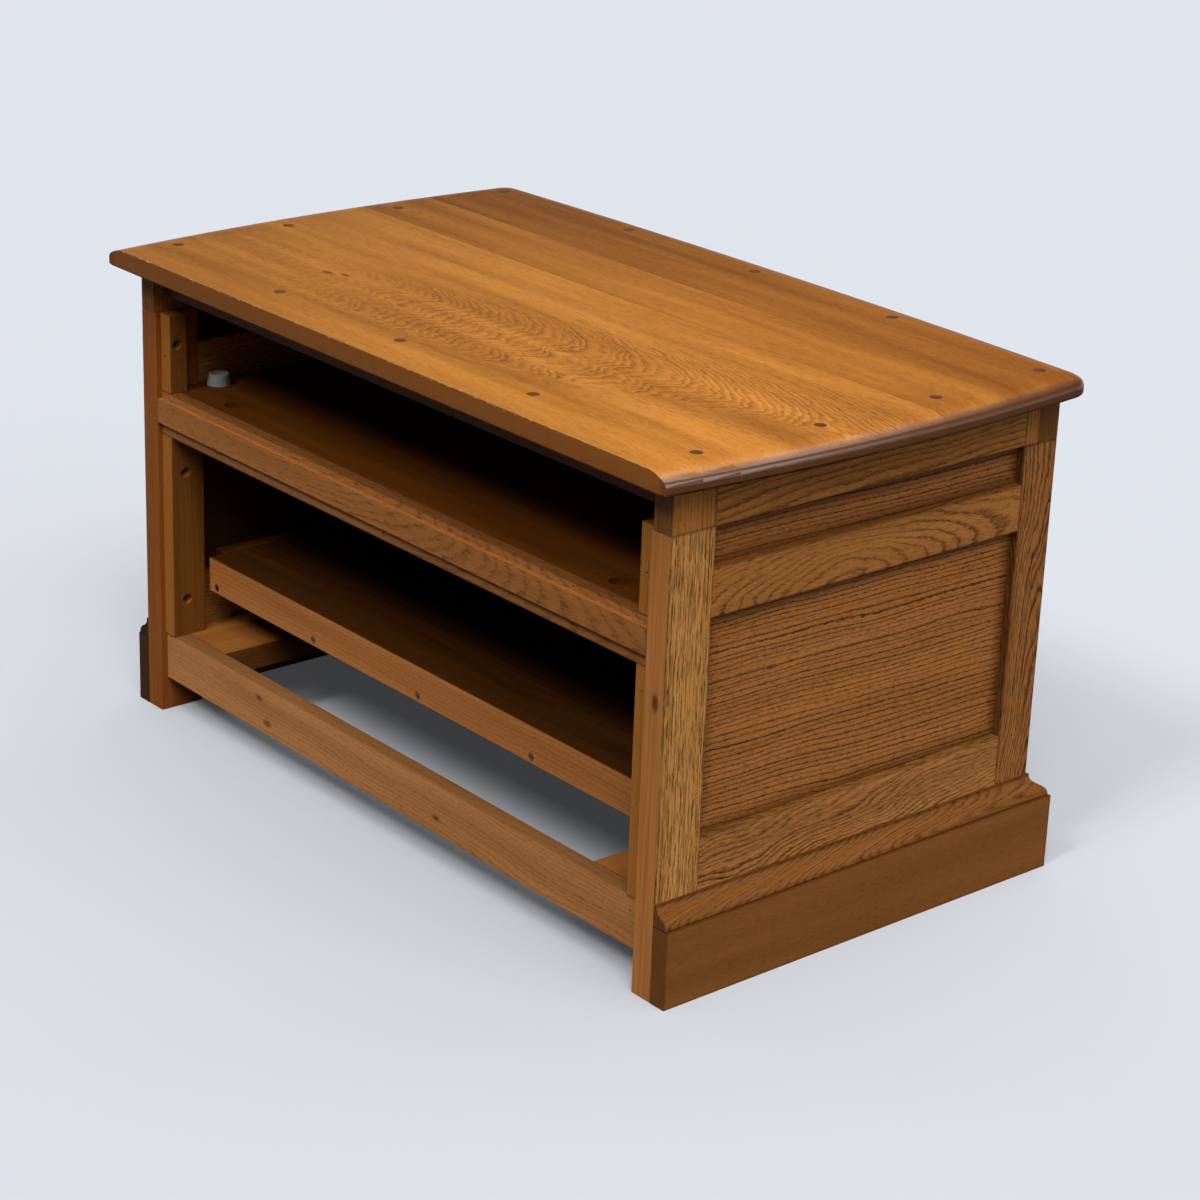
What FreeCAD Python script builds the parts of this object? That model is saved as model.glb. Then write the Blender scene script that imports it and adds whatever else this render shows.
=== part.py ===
"""Television cabinet in elm: frame-and-panel ends, moulded top, plinth, open back.

Frame: +Z up, front faces -Y, open back faces +Y, origin on the floor under the middle of the
top board. Left and right are as seen from the front, so left is -X. All sizes in millimetres.
"""
import FreeCAD
import Part
import math
import os

from FreeCAD import Vector

# Whole cabinet
height = 550.0
carcass_length = 900.0
carcass_depth = 519.0
rear_overhang = 28.0

# Top board: bowed front and ends, straight rear edge, thumbnail moulding
top_length = 978.0
top_depth = 580.0
top_thickness = 22.0
end_sag = 18.0
front_sag = 11.5
front_corner_radius = 30.0
thumbnail_width = 27.0
thumbnail_drop = 12.7
thumbnail_nose = (3.0, 7.1)
thumbnail_crown_share = 0.27
thumbnail_knee_share = (0.28, 0.45)
nose_under_radius = 4.0
rear_under_chamfer = 2.5

# Plugs and screws that hold the top down
plug_radius = 6.5
plug_depth = 8.0
plug_gap = 0.05
plug_corner_x = 435.0
plug_side_x = 440.0
plug_inner_x = 215.0
plug_rear_corner_y = 222.5
plug_rear_y = 237.0
plug_side_y = (71.0, -84.5)
plug_front_corner_y = -238.0
plug_front_y = -249.5
screw_radius = 2.25
screw_head_radius = 4.5
screw_head_height = 3.0
screw_length = 40.0
screw_gap = 0.05

# End frames
stile_thickness = 28.0
rear_stile_width = 55.0
front_stile_width = 47.5
rail_thickness = 24.0
frieze_thickness = 25.0
frieze_bottom = 479.0
mid_rail_bottom = 388.0
mid_rail_top = 438.0
bottom_rail_bottom = 60.0
bottom_rail_top = 161.0
panel_thickness = 8.0
panel_recess = 9.0
groove_depth = 8.0
tenon_length = 25.0
stub_tenon_length = 12.5
tenon_shoulder = 10.0
ease = 0.8

# Cutters run past the faces that they cut, and edges are found by their place
overcut = 1.0
edge_tolerance = 1.0

# Plinth
plinth_height = 106.0
plinth_thickness = 20.0
plinth_face_height = 83.0
ogee_foot = (17.5, 0.0)
ogee_belly = (16.0, 6.8)
ogee_turn = (10.5, 11.5)
ogee_hollow = (5.4, 14.8)
ogee_head = (2.5, 20.0)

# Inside and back
back_rebate = 6.0
cleat_thickness = 20.0
upper_cleat_depth = 22.0
lower_cleat_depth = 42.0
cleat_top = 480.5
pilot_radius = 1.5
pilot_depth = 12.0
cleat_hole_radius = 6.0
cleat_hole_depth = 12.0
cleat_head_trim = 0.5
cleat_screw_places = {"upper": [(247.0, 446.0)], "lower": [(238.0, 294.5), (238.0, 140.5)]}
cleat_pilot_heights = {"upper": 432.0, "lower": 312.0}
shelf_top = 390.0
shelf_thickness = 18.0
mid_rail_height = 51.0
mid_rail_depth = 19.5
mid_rail_upper_rebate = 9.0
mid_rail_lower_rebate = 14.5
mid_rail_pilot_x = 307.0
cable_hole_radius = 11.0
cable_hole_x = 331.0
cable_hole_y = 218.5
floor_top = 186.0
floor_thickness = 18.0
floor_half_length = 401.0
floor_gap = 0.5
floor_rail_height = 41.0
floor_rail_depth = 22.0
floor_rail_rear_y = 208.5
floor_hole_spacing = 193.0
floor_hole_height = 7.5
floor_hole_radius = 4.4
floor_hole_depth = 2.5
bearer_height = 20.0
bearer_width = 20.0
bearer_rear_gap = 4.0
floor_bearer_width = 37.0
base_top = 96.5
base_rail_bottom = 40.0
base_rail_depth = 18.5
base_rail_inset = 8.0
base_rail_pilots = ((149.0, 78.5), (-407.0, 79.4))
base_board_width = 94.0
base_board_thickness = 28.5
rear_top_rail_depth = 24.0
rear_top_rail_height = 29.0
buffer_base_radius = 14.0
buffer_top_radius = 11.0
buffer_height = 13.0
buffer_edge_radius = 1.5
buffer_x = 405.0
buffer_y = 190.5

# Front: fall flap over a pair of doors
front_rail_depth = 28.0
leaf_thickness = 20.0
front_gap = 1.0
meeting_gap = 1.5
door_stile_width = 42.0
door_panel_recess = 7.0
knob_reach = 24.0
knob_radius = 13.0
knob_rim_height = 15.0
knob_foot_radius = 9.0
knob_foot_height = 1.5
knob_foot_cove = (6.8, 3.6)
knob_neck = (6.0, 6.5)
knob_bowl = (10.4, 9.4)
knob_spigot_radius = 4.0
knob_spigot_length = 14.0
flap_knob_x = 215.0
flap_edge_bevel = 3.0

# Butt hinges
hinge_length = 50.0
hinge_plate = 1.4
hinge_leaf_width = 16.0
knuckle_radius = 2.75
hinge_pin_radius = 1.2
hinge_pin_clearance = 0.05
knuckle_gap = 0.3
knuckle_proud = 3.0
door_hinge_inset = 18.0
flap_hinge_x = 330.0

# Magnetic catches
catch_size = (44.0, 20.0, 13.0)
strike_size = (36.0, 1.2, 12.0)
strike_drop = 0.5
catch_gap = 0.3
door_catch_x = 60.0

# Derived places
top_under = height - top_thickness
rear_y = top_depth / 2 - rear_overhang
front_y = rear_y - carcass_depth
outer_x = carcass_length / 2
inner_x = outer_x - stile_thickness
rear_stile_y = rear_y - rear_stile_width
front_stile_y = front_y + front_stile_width
rail_back_x = outer_x - rail_thickness
frieze_back_x = outer_x - frieze_thickness
panel_outer_x = outer_x - panel_recess
panel_inner_x = panel_outer_x - panel_thickness
cleat_rear_y = rear_y - back_rebate
cleat_x = inner_x - cleat_thickness
mid_rail_z = shelf_top - mid_rail_height
mid_rail_y = rear_y - mid_rail_depth
front_rail_y = front_y + front_rail_depth
leaf_back_y = front_y + leaf_thickness
base_rail_rear_y = rear_y - base_rail_inset
base_rail_y = base_rail_rear_y - base_rail_depth
floor_rail_y = floor_rail_rear_y - floor_rail_depth
axis_y = front_y - knuckle_proud
front_bottom_rail_top = floor_top - floor_thickness
door_bottom = front_bottom_rail_top + front_gap
door_top = mid_rail_z - front_gap
flap_bottom = shelf_top + front_gap
flap_top = frieze_bottom - front_gap
door_outer_x = inner_x - front_gap
door_inner_x = meeting_gap / 2
door_axis_x = inner_x - front_gap / 2
flap_axis_z = shelf_top + front_gap / 2
SIDES = {"left": -1, "right": 1}

parts = {}


def block(x0, x1, y0, y1, z0, z1):
    """Plain rectangular block between two corners, given in any order."""
    low = Vector(min(x0, x1), min(y0, y1), min(z0, z1))
    return Part.makeBox(abs(x1 - x0), abs(y1 - y0), abs(z1 - z0), low)


def board(x0, x1, y0, y1, z0, z1, radius=ease):
    """Planed board: a block with all its edges eased by a small radius."""
    solid = block(x0, x1, y0, y1, z0, z1)
    return solid.makeFillet(radius, solid.Edges)


def rod(start, direction, radius, length):
    """Round rod from a start point along a direction."""
    return Part.makeCylinder(radius, length, Vector(*start), Vector(*direction))


def add(name, *solids):
    """Keep the solids of one node under its name, as one shape or as a group."""
    parts[name] = solids[0] if len(solids) == 1 else Part.makeCompound(list(solids))


def plug_places():
    """Plan places (x, y) of the plugs round the rim of the top."""
    places = []
    for sign in SIDES.values():
        places.append((sign * plug_corner_x, plug_rear_corner_y))
        places.append((sign * plug_corner_x, plug_front_corner_y))
        places += [(sign * plug_side_x, y) for y in plug_side_y]
    for x in (-plug_inner_x, 0.0, plug_inner_x):
        places += [(x, plug_rear_y), (x, plug_front_y)]
    return places


def arc_radius(half_chord, sag):
    """Radius of the arc that rises by sag over half its chord."""
    return (half_chord ** 2 + sag ** 2) / (2 * sag)


def top_blank(overrun):
    """Plan of the top as a plate: a block trimmed by three large drums, front corners rounded."""
    end_radius = arc_radius(top_depth / 2, end_sag)
    front_radius = arc_radius(top_length / 2 - end_sag, front_sag)
    half_length = top_length / 2
    front_edge = -top_depth / 2
    plate = block(-half_length, half_length, front_edge, top_depth / 2 + overrun, top_under, height)
    drums = [(half_length - end_radius, 0.0, end_radius), (end_radius - half_length, 0.0, end_radius),
             (0.0, front_edge + front_radius, front_radius)]
    for x, y, radius in drums:
        plate = plate.common(rod((x, y, top_under), (0, 0, 1), radius, top_thickness))
    corners = [e for e in plate.Edges if e.BoundBox.ZLength > top_thickness / 2 and e.BoundBox.YMax < 0]
    return plate.makeFillet(front_corner_radius, corners)


def thumbnail_cutter(plate, overrun):
    """Waste removed from the upper edge of the front and ends, swept round the plan."""
    rim = max(plate.Faces, key=lambda f: f.CenterOfMass.z).Edges
    moulded = [e for e in rim if e.BoundBox.YMin < top_depth / 2 + overrun - edge_tolerance]
    path = Part.Wire(Part.sortEdges(moulded)[0])
    edge = path.OrderedEdges[0]
    start = edge.valueAt(edge.FirstParameter)
    far = edge.valueAt(edge.LastParameter)
    if path.OrderedVertexes[0].Point.distanceToPoint(start) > edge_tolerance:
        start, far = far, start
    along = edge.tangentAt(edge.Curve.parameter(start))
    inward = Vector(0, 0, 1).cross(along)
    if inward.dot(Vector(0, 0, start.z) - start) < 0:
        inward = inward * -1
    margin = 3.0

    def at(inset, drop):
        return start + inward * inset - Vector(0, 0, drop)

    nose_in, nose_drop = thumbnail_nose
    crown = at((thumbnail_width + nose_in) / 2, nose_drop * thumbnail_crown_share)
    knee_in, knee_drop = thumbnail_knee_share
    knee = at(nose_in * knee_in, nose_drop + (thumbnail_drop - nose_drop) * knee_drop)
    profile = Part.Wire([
        Part.makeLine(at(thumbnail_width, -margin), at(thumbnail_width, 0)),
        Part.Arc(at(thumbnail_width, 0), crown, at(nose_in, nose_drop)).toShape(),
        Part.Arc(at(nose_in, nose_drop), knee, at(0, thumbnail_drop)).toShape(),
        Part.makeLine(at(0, thumbnail_drop), at(-margin, thumbnail_drop)),
        Part.makeLine(at(-margin, thumbnail_drop), at(-margin, -margin)),
        Part.makeLine(at(-margin, -margin), at(thumbnail_width, -margin)),
    ])
    shell = Part.BRepOffsetAPI.MakePipeShell(path)
    shell.setBiNormalMode(Vector(0, 0, 1))
    shell.add(profile)
    shell.build()
    shell.makeSolid()
    return shell.shape()


def make_top():
    """Top board with its plugs and the screws under them."""
    overrun = 12.0
    plate = top_blank(overrun)
    cutter = thumbnail_cutter(plate, overrun)
    lower_rim = [e for e in min(plate.Faces, key=lambda f: f.CenterOfMass.z).Edges
                 if e.BoundBox.YMin < top_depth / 2 + overrun - edge_tolerance]
    plate = plate.makeFillet(nose_under_radius, lower_rim)
    plate = plate.cut(cutter)
    plate = plate.cut(block(-top_length, top_length, top_depth / 2, top_depth, 0, 2 * height))
    bevel = Part.Face(Part.makePolygon([
        Vector(-top_length, top_depth / 2 - rear_under_chamfer, top_under),
        Vector(-top_length, top_depth / 2, top_under),
        Vector(-top_length, top_depth / 2, top_under + rear_under_chamfer),
        Vector(-top_length, top_depth / 2 - rear_under_chamfer, top_under)]))
    plate = plate.cut(bevel.extrude(Vector(2 * top_length, 0, 0)))
    plugs, screws = [], []
    for x, y in plug_places():
        seat = height - plug_depth
        plate = plate.cut(rod((x, y, seat - screw_head_height), (0, 0, 1), plug_radius, top_thickness))
        plate = plate.cut(rod((x, y, top_under), (0, 0, 1), screw_radius + screw_gap, top_thickness))
        plugs.append(rod((x, y, seat), (0, 0, 1), plug_radius - plug_gap, plug_depth))
        head = rod((x, y, seat - screw_head_height), (0, 0, 1), screw_head_radius, screw_head_height)
        shank = rod((x, y, seat - screw_length), (0, 0, 1), screw_radius, screw_length - screw_head_height)
        screws.append(head.fuse(shank).removeSplitter())
    add("top_board", plate)
    add("top_plugs", *plugs)
    add("top_screws", *screws)


def screw_pilots():
    """Pilot holes that the top screws leave in the pieces below the top."""
    bottom = height - plug_depth - screw_length
    return Part.makeCompound([rod((x, y, bottom), (0, 0, 1), screw_radius + screw_gap, top_under - bottom)
                              for x, y in plug_places()])


def end_panel(sign, z0, z1):
    """Panel that stands in the grooves of an end frame, seen between heights z0 and z1."""
    return block(sign * panel_inner_x, sign * panel_outer_x, front_stile_y - groove_depth,
                 rear_stile_y + groove_depth, z0 - groove_depth, z1 + groove_depth)


def end_tongue(sign, z0, z1, reach):
    """Tongue through the length of an end rail, whose ends are its tenons, in line with the grooves."""
    return block(sign * panel_inner_x, sign * panel_outer_x, front_stile_y - reach, rear_stile_y + reach,
                 z0 + tenon_shoulder, z1 - tenon_shoulder)


def make_end(side, sign):
    """One end: stiles, rails, frieze and two panels, jointed with tenons and grooves."""
    pilots = screw_pilots()
    upper_panel = end_panel(sign, mid_rail_top, frieze_bottom)
    lower_panel = end_panel(sign, bottom_rail_top, mid_rail_bottom)
    rails = {
        "end_frieze_rail": (frieze_back_x, frieze_bottom, top_under, stub_tenon_length),
        "end_mid_rail": (rail_back_x, mid_rail_bottom, mid_rail_top, tenon_length),
        "end_bottom_rail": (rail_back_x, bottom_rail_bottom, bottom_rail_top, tenon_length),
    }
    grooves = [upper_panel, lower_panel]
    for name, (back_x, z0, z1, reach) in rails.items():
        rail = board(sign * back_x, sign * outer_x, front_stile_y, rear_stile_y, z0, z1)
        tongue = end_tongue(sign, z0, z1, reach)
        solid = rail.fuse(tongue).cut(upper_panel).cut(lower_panel)
        add(name + "_" + side, solid.cut(pilots) if z1 == top_under else solid)
        grooves.append(tongue)
    grooves = Part.makeCompound(grooves)
    rear_stile = board(sign * inner_x, sign * outer_x, rear_stile_y, rear_y, 0, frieze_bottom)
    front_stile = board(sign * inner_x, sign * outer_x, front_y, front_stile_y, 0, frieze_bottom)
    rear_block = board(sign * frieze_back_x, sign * outer_x, rear_stile_y, rear_y, frieze_bottom, top_under)
    front_block = board(sign * frieze_back_x, sign * outer_x, front_rail_y, front_stile_y, frieze_bottom,
                        top_under)
    add("rear_stile_" + side, rear_stile.cut(grooves))
    for tongue in front_tongues():
        front_stile = front_stile.cut(tongue)
    add("front_stile_" + side, front_stile.cut(grooves).cut(hinge_recess(sign)))
    add("frieze_block_rear_" + side, rear_block.cut(grooves).cut(pilots))
    add("frieze_block_front_" + side, front_block.cut(grooves).cut(pilots))
    add("end_upper_panel_" + side, upper_panel)
    add("end_lower_panel_" + side, lower_panel)


def plinth_profile(at):
    """Closed outline of the plinth board: plain face, quirk, ogee moulding, small top fillet."""
    foot, belly, turn, hollow, head = [(out, plinth_face_height + rise) for out, rise in (
        ogee_foot, ogee_belly, ogee_turn, ogee_hollow, ogee_head)]
    outline = [(0, 0), (plinth_thickness, 0), (plinth_thickness, plinth_face_height), foot]
    edges = [Part.makeLine(at(*a), at(*b)) for a, b in zip(outline, outline[1:])]
    edges.append(Part.Arc(at(*foot), at(*belly), at(*turn)).toShape())
    edges.append(Part.Arc(at(*turn), at(*hollow), at(*head)).toShape())
    crown = [head, (head[0], plinth_height), (0, plinth_height), (0, 0)]
    edges += [Part.makeLine(at(*a), at(*b)) for a, b in zip(crown, crown[1:])]
    return Part.Face(Part.Wire(edges))


def make_plinth():
    """Plinth boards on the front and both ends, mitred at the front corners."""
    reach = plinth_thickness
    corner_x = outer_x + reach
    corner_y = front_y - reach
    for side, sign in SIDES.items():
        face = plinth_profile(lambda u, z: Vector(sign * (outer_x + u), corner_y, z))
        run = face.extrude(Vector(0, rear_y - corner_y, 0))
        waste = Part.Face(Part.makePolygon([
            Vector(sign * outer_x, front_y, 0), Vector(sign * corner_x, corner_y, 0),
            Vector(sign * outer_x, corner_y, 0), Vector(sign * outer_x, front_y, 0)]))
        add("plinth_" + side, run.cut(waste.extrude(Vector(0, 0, plinth_height))))
    face = plinth_profile(lambda u, z: Vector(-corner_x, front_y - u, z))
    run = face.extrude(Vector(2 * corner_x, 0, 0))
    for sign in SIDES.values():
        waste = Part.Face(Part.makePolygon([
            Vector(sign * outer_x, front_y, 0), Vector(sign * corner_x, corner_y, 0),
            Vector(sign * corner_x, front_y, 0), Vector(sign * outer_x, front_y, 0)]))
        run = run.cut(waste.extrude(Vector(0, 0, plinth_height)))
    add("plinth_front", run)


def make_cleats():
    """Cleats on the rear stiles that the back panels screw to, with their fixing screws."""
    screws = []
    for side, sign in SIDES.items():
        upper = board(sign * cleat_x, sign * inner_x, cleat_rear_y - upper_cleat_depth, cleat_rear_y,
                      shelf_top, cleat_top)
        lower = board(sign * cleat_x, sign * inner_x, cleat_rear_y - lower_cleat_depth, cleat_rear_y,
                      base_top, mid_rail_z)
        for name, solid in (("upper", upper), ("lower", lower)):
            for y, z in cleat_screw_places[name]:
                inward = (sign, 0, 0)
                mouth = (sign * cleat_x, y, z)
                solid = solid.cut(rod(mouth, inward, cleat_hole_radius, cleat_hole_depth))
                solid = solid.cut(rod(mouth, inward, screw_radius + screw_gap, cleat_thickness))
                seat = sign * (cleat_x + cleat_hole_depth)
                head = rod((seat - sign * screw_head_height, y, z), inward,
                           screw_head_radius - cleat_head_trim, screw_head_height)
                shank = rod((seat, y, z), inward, screw_radius, cleat_thickness - cleat_hole_depth)
                screws.append(head.fuse(shank).removeSplitter())
            start = (sign * (cleat_x + cleat_thickness / 2), cleat_rear_y, cleat_pilot_heights[name])
            solid = solid.cut(rod(start, (0, -1, 0), pilot_radius, pilot_depth))
            add(name + "_cleat_" + side, solid)
    add("cleat_screws", *screws)


def make_shelf():
    """Middle shelf, its rebated rear rail, its bearers and two rubber buffers."""
    rail = board(-inner_x, inner_x, mid_rail_y, rear_y, mid_rail_z, shelf_top)
    rebates = ((shelf_top - mid_rail_upper_rebate, shelf_top + overcut),
               (mid_rail_z - overcut, mid_rail_z + mid_rail_lower_rebate))
    for z0, z1 in rebates:
        rail = rail.cut(block(-outer_x, outer_x, cleat_rear_y, rear_y + overcut, z0, z1))
    for x in (-mid_rail_pilot_x, 0, mid_rail_pilot_x):
        for z in (shelf_top - mid_rail_upper_rebate / 2, mid_rail_z + mid_rail_lower_rebate / 2):
            rail = rail.cut(rod((x, cleat_rear_y, z), (0, -1, 0), pilot_radius, pilot_depth))
    add("mid_rear_rail", rail)
    shelf = board(-inner_x, inner_x, front_rail_y, mid_rail_y, shelf_top - shelf_thickness, shelf_top)
    buffers, bearers = [], []
    for sign in SIDES.values():
        hole = (sign * cable_hole_x, cable_hole_y, shelf_top - shelf_thickness)
        shelf = shelf.cut(rod(hole, (0, 0, 1), cable_hole_radius, shelf_thickness))
        cone = Part.makeCone(buffer_base_radius, buffer_top_radius, buffer_height,
                             Vector(sign * buffer_x, buffer_y, shelf_top))
        rim = [e for e in cone.Edges if e.BoundBox.ZMin > shelf_top + buffer_height - edge_tolerance]
        buffers.append(cone.makeFillet(buffer_edge_radius, rim))
        bearers.append(board(sign * (inner_x - bearer_width), sign * inner_x, front_stile_y,
                             mid_rail_y - bearer_rear_gap, shelf_top - shelf_thickness - bearer_height,
                             shelf_top - shelf_thickness))
    add("shelf_board", shelf)
    add("shelf_bearers", *bearers)
    add("rubber_buffers", *buffers)


def make_floor():
    """Lower floor with its rear rail and bearers, set in from the open back."""
    rail = board(-floor_half_length, floor_half_length, floor_rail_y, floor_rail_rear_y,
                 floor_top - floor_rail_height, floor_top)
    hole_z = floor_top - floor_rail_height + floor_hole_height
    for step in range(-2, 3):
        start = (step * floor_hole_spacing, floor_rail_rear_y, hole_z)
        rail = rail.cut(rod(start, (0, -1, 0), floor_hole_radius, floor_hole_depth))
        rail = rail.cut(rod(start, (0, -1, 0), pilot_radius, pilot_depth))
    floor = board(-floor_half_length, floor_half_length, leaf_back_y + floor_gap, floor_rail_y,
                  floor_top - floor_thickness, floor_top)
    bearers = []
    for sign in SIDES.values():
        bearer = board(sign * (inner_x - floor_bearer_width), sign * inner_x, front_stile_y, floor_rail_y,
                       floor_top - floor_thickness - bearer_height, floor_top)
        rebate = block(0, sign * (floor_half_length + floor_gap), front_y, rear_y,
                       floor_top - floor_thickness, floor_top + overcut)
        bearers.append(bearer.cut(rebate))
    add("floor_rear_rail", rail)
    add("floor_board", floor)
    add("floor_bearers", *bearers)


def make_base():
    """Rails and wide side boards of the base, open in the middle."""
    rear = board(-inner_x, inner_x, base_rail_y, base_rail_rear_y, base_rail_bottom, base_top)
    for x, z in base_rail_pilots:
        rear = rear.cut(rod((x, base_rail_rear_y, z), (0, -1, 0), pilot_radius, pilot_depth))
    front = board(-inner_x, inner_x, front_y, front_rail_y, base_rail_bottom, front_bottom_rail_top)
    add("base_rear_rail", rear)
    add("base_front_rail", front.fuse(front_tongues()[1]))
    for side, sign in SIDES.items():
        add("base_side_board_" + side,
            board(sign * (inner_x - base_board_width), sign * inner_x, front_rail_y, base_rail_y,
                  base_top - base_board_thickness, base_top))


def make_cross_rails():
    """Rails that tie the two ends together at the top and above the doors."""
    pilots = screw_pilots()
    frieze = board(-outer_x, outer_x, front_y, front_rail_y, frieze_bottom, top_under)
    rear = board(-frieze_back_x, frieze_back_x, plug_rear_y - rear_top_rail_depth / 2,
                 plug_rear_y + rear_top_rail_depth / 2, top_under - rear_top_rail_height, top_under)
    middle = board(-inner_x, inner_x, front_y, front_rail_y, mid_rail_z, shelf_top)
    add("front_frieze_rail", frieze.cut(pilots))
    add("rear_top_rail", rear.cut(pilots))
    add("front_mid_rail", middle.fuse(front_tongues()[0]).cut(flap_hinge_recess()))


def front_tongues():
    """Tongues through the front's middle and bottom rails, whose ends are their tenons in the stiles."""
    return [block(-inner_x - stub_tenon_length, inner_x + stub_tenon_length, front_y + tenon_shoulder,
                  front_rail_y - tenon_shoulder, z0 + tenon_shoulder, z1 - tenon_shoulder)
            for z0, z1 in ((mid_rail_z, shelf_top), (base_rail_bottom, front_bottom_rail_top))]


def hinge_recess(sign):
    """Shallow recesses in the front stile for the fixed leaves of the door hinges."""
    return Part.makeCompound([
        block(sign * inner_x, sign * (inner_x + hinge_plate), front_y - overcut, front_y + hinge_leaf_width,
              z, z + hinge_length) for z in door_hinge_heights()])


def flap_hinge_recess():
    """Shallow recesses in the rail under the flap for the fixed leaves of its hinges."""
    return Part.makeCompound([
        block(x, x + hinge_length, front_y - overcut, front_y + hinge_leaf_width,
              shelf_top - hinge_plate, shelf_top) for x in flap_hinge_places()])


def door_hinge_heights():
    """Heights of the lower ends of the two hinges on a door."""
    return (door_bottom + door_hinge_inset, door_top - door_hinge_inset - hinge_length)


def flap_hinge_places():
    """Places along X where the two hinges of the flap begin."""
    return (-flap_hinge_x - hinge_length / 2, flap_hinge_x - hinge_length / 2)


def hinge(side_step):
    """Butt hinge along +Z at the origin: fixed leaf, moving leaf and pin.

    The leaves lie along +Y from the axis. The fixed leaf is on the -X side when side_step is -1
    and on the +X side when it is 1, and the moving leaf is across the gap from it.
    """
    half_gap = front_gap / 2
    third = hinge_length / 3
    bore = rod((0, 0, -overcut), (0, 0, 1), hinge_pin_radius + hinge_pin_clearance,
               hinge_length + 2 * overcut)
    reach = knuckle_proud + hinge_leaf_width

    def leaf(step, notch_spans):
        plate = block(step * half_gap, step * (half_gap + hinge_plate), 0, reach, 0, hinge_length)
        barrel = rod((0, 0, 0), (0, 0, 1), knuckle_radius, hinge_length)
        solid = plate.fuse(barrel)
        notches = Part.makeCompound([block(-knuckle_radius, knuckle_radius, -knuckle_radius,
                                           knuckle_radius + knuckle_gap, z0, z1) for z0, z1 in notch_spans])
        return solid.cut(notches).cut(bore).removeSplitter()

    fixed = leaf(side_step, [(third, 2 * third)])
    moving = leaf(-side_step, [(-overcut, third + knuckle_gap),
                               (2 * third - knuckle_gap, hinge_length + overcut)])
    pin = rod((0, 0, 0), (0, 0, 1), hinge_pin_radius, hinge_length)
    return fixed, moving, pin


def make_hinges():
    """Butt hinges of the doors and of the flap."""
    fixed_leaves, pins = [], []
    for side, sign in SIDES.items():
        moving_leaves = []
        for z in door_hinge_heights():
            fixed, moving, pin = hinge(sign)
            for solid in (fixed, moving, pin):
                solid.translate(Vector(sign * door_axis_x, axis_y, z))
            fixed_leaves.append(fixed)
            moving_leaves.append(moving)
            pins.append(pin)
        add("door_" + side + "_hinge_leaves", *moving_leaves)
    flap_leaves = []
    for x in flap_hinge_places():
        fixed, moving, pin = hinge(1)
        for solid in (fixed, moving, pin):
            solid.rotate(Vector(0, 0, 0), Vector(0, 1, 0), 90)
            solid.translate(Vector(x, axis_y, flap_axis_z))
        fixed_leaves.append(fixed)
        flap_leaves.append(moving)
        pins.append(pin)
    add("flap_hinge_leaves", *flap_leaves)
    add("hinge_fixed_leaves", *fixed_leaves)
    add("hinge_pins", *pins)


def knob(x, z):
    """Turned wooden knob on the front face at (x, z), with a spigot into the wood behind it."""
    outline = [(0, -knob_spigot_length), (knob_spigot_radius, -knob_spigot_length), (knob_spigot_radius, 0),
               (knob_foot_radius, 0), (knob_foot_radius, knob_foot_height)]
    points = [Vector(r, 0, h) for r, h in outline]
    cove, neck, bowl = [Vector(r, 0, h) for r, h in (knob_foot_cove, knob_neck, knob_bowl)]
    rim = Vector(knob_radius, 0, knob_rim_height)
    tip = Vector(0, 0, knob_reach)
    rise = knob_reach - knob_rim_height
    dome_radius = (knob_radius ** 2 + rise ** 2) / (2 * rise)
    middle = math.asin(knob_radius / dome_radius) / 2
    shoulder = Vector(dome_radius * math.sin(middle), 0,
                      knob_reach - dome_radius * (1 - math.cos(middle)))
    edges = [Part.makeLine(a, b) for a, b in zip(points, points[1:])]
    edges.append(Part.Arc(points[-1], cove, neck).toShape())
    edges.append(Part.Arc(neck, bowl, rim).toShape())
    edges.append(Part.Arc(rim, shoulder, tip).toShape())
    edges.append(Part.makeLine(tip, points[0]))
    solid = Part.Face(Part.Wire(edges)).revolve(Vector(0, 0, 0), Vector(0, 0, 1), 360)
    solid.rotate(Vector(0, 0, 0), Vector(1, 0, 0), 90)
    solid.translate(Vector(x, front_y, z))
    return solid


def knob_socket(x, z):
    """Hole for the spigot of a knob."""
    return rod((x, front_y, z), (0, 1, 0), knob_spigot_radius, knob_spigot_length)


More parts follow.
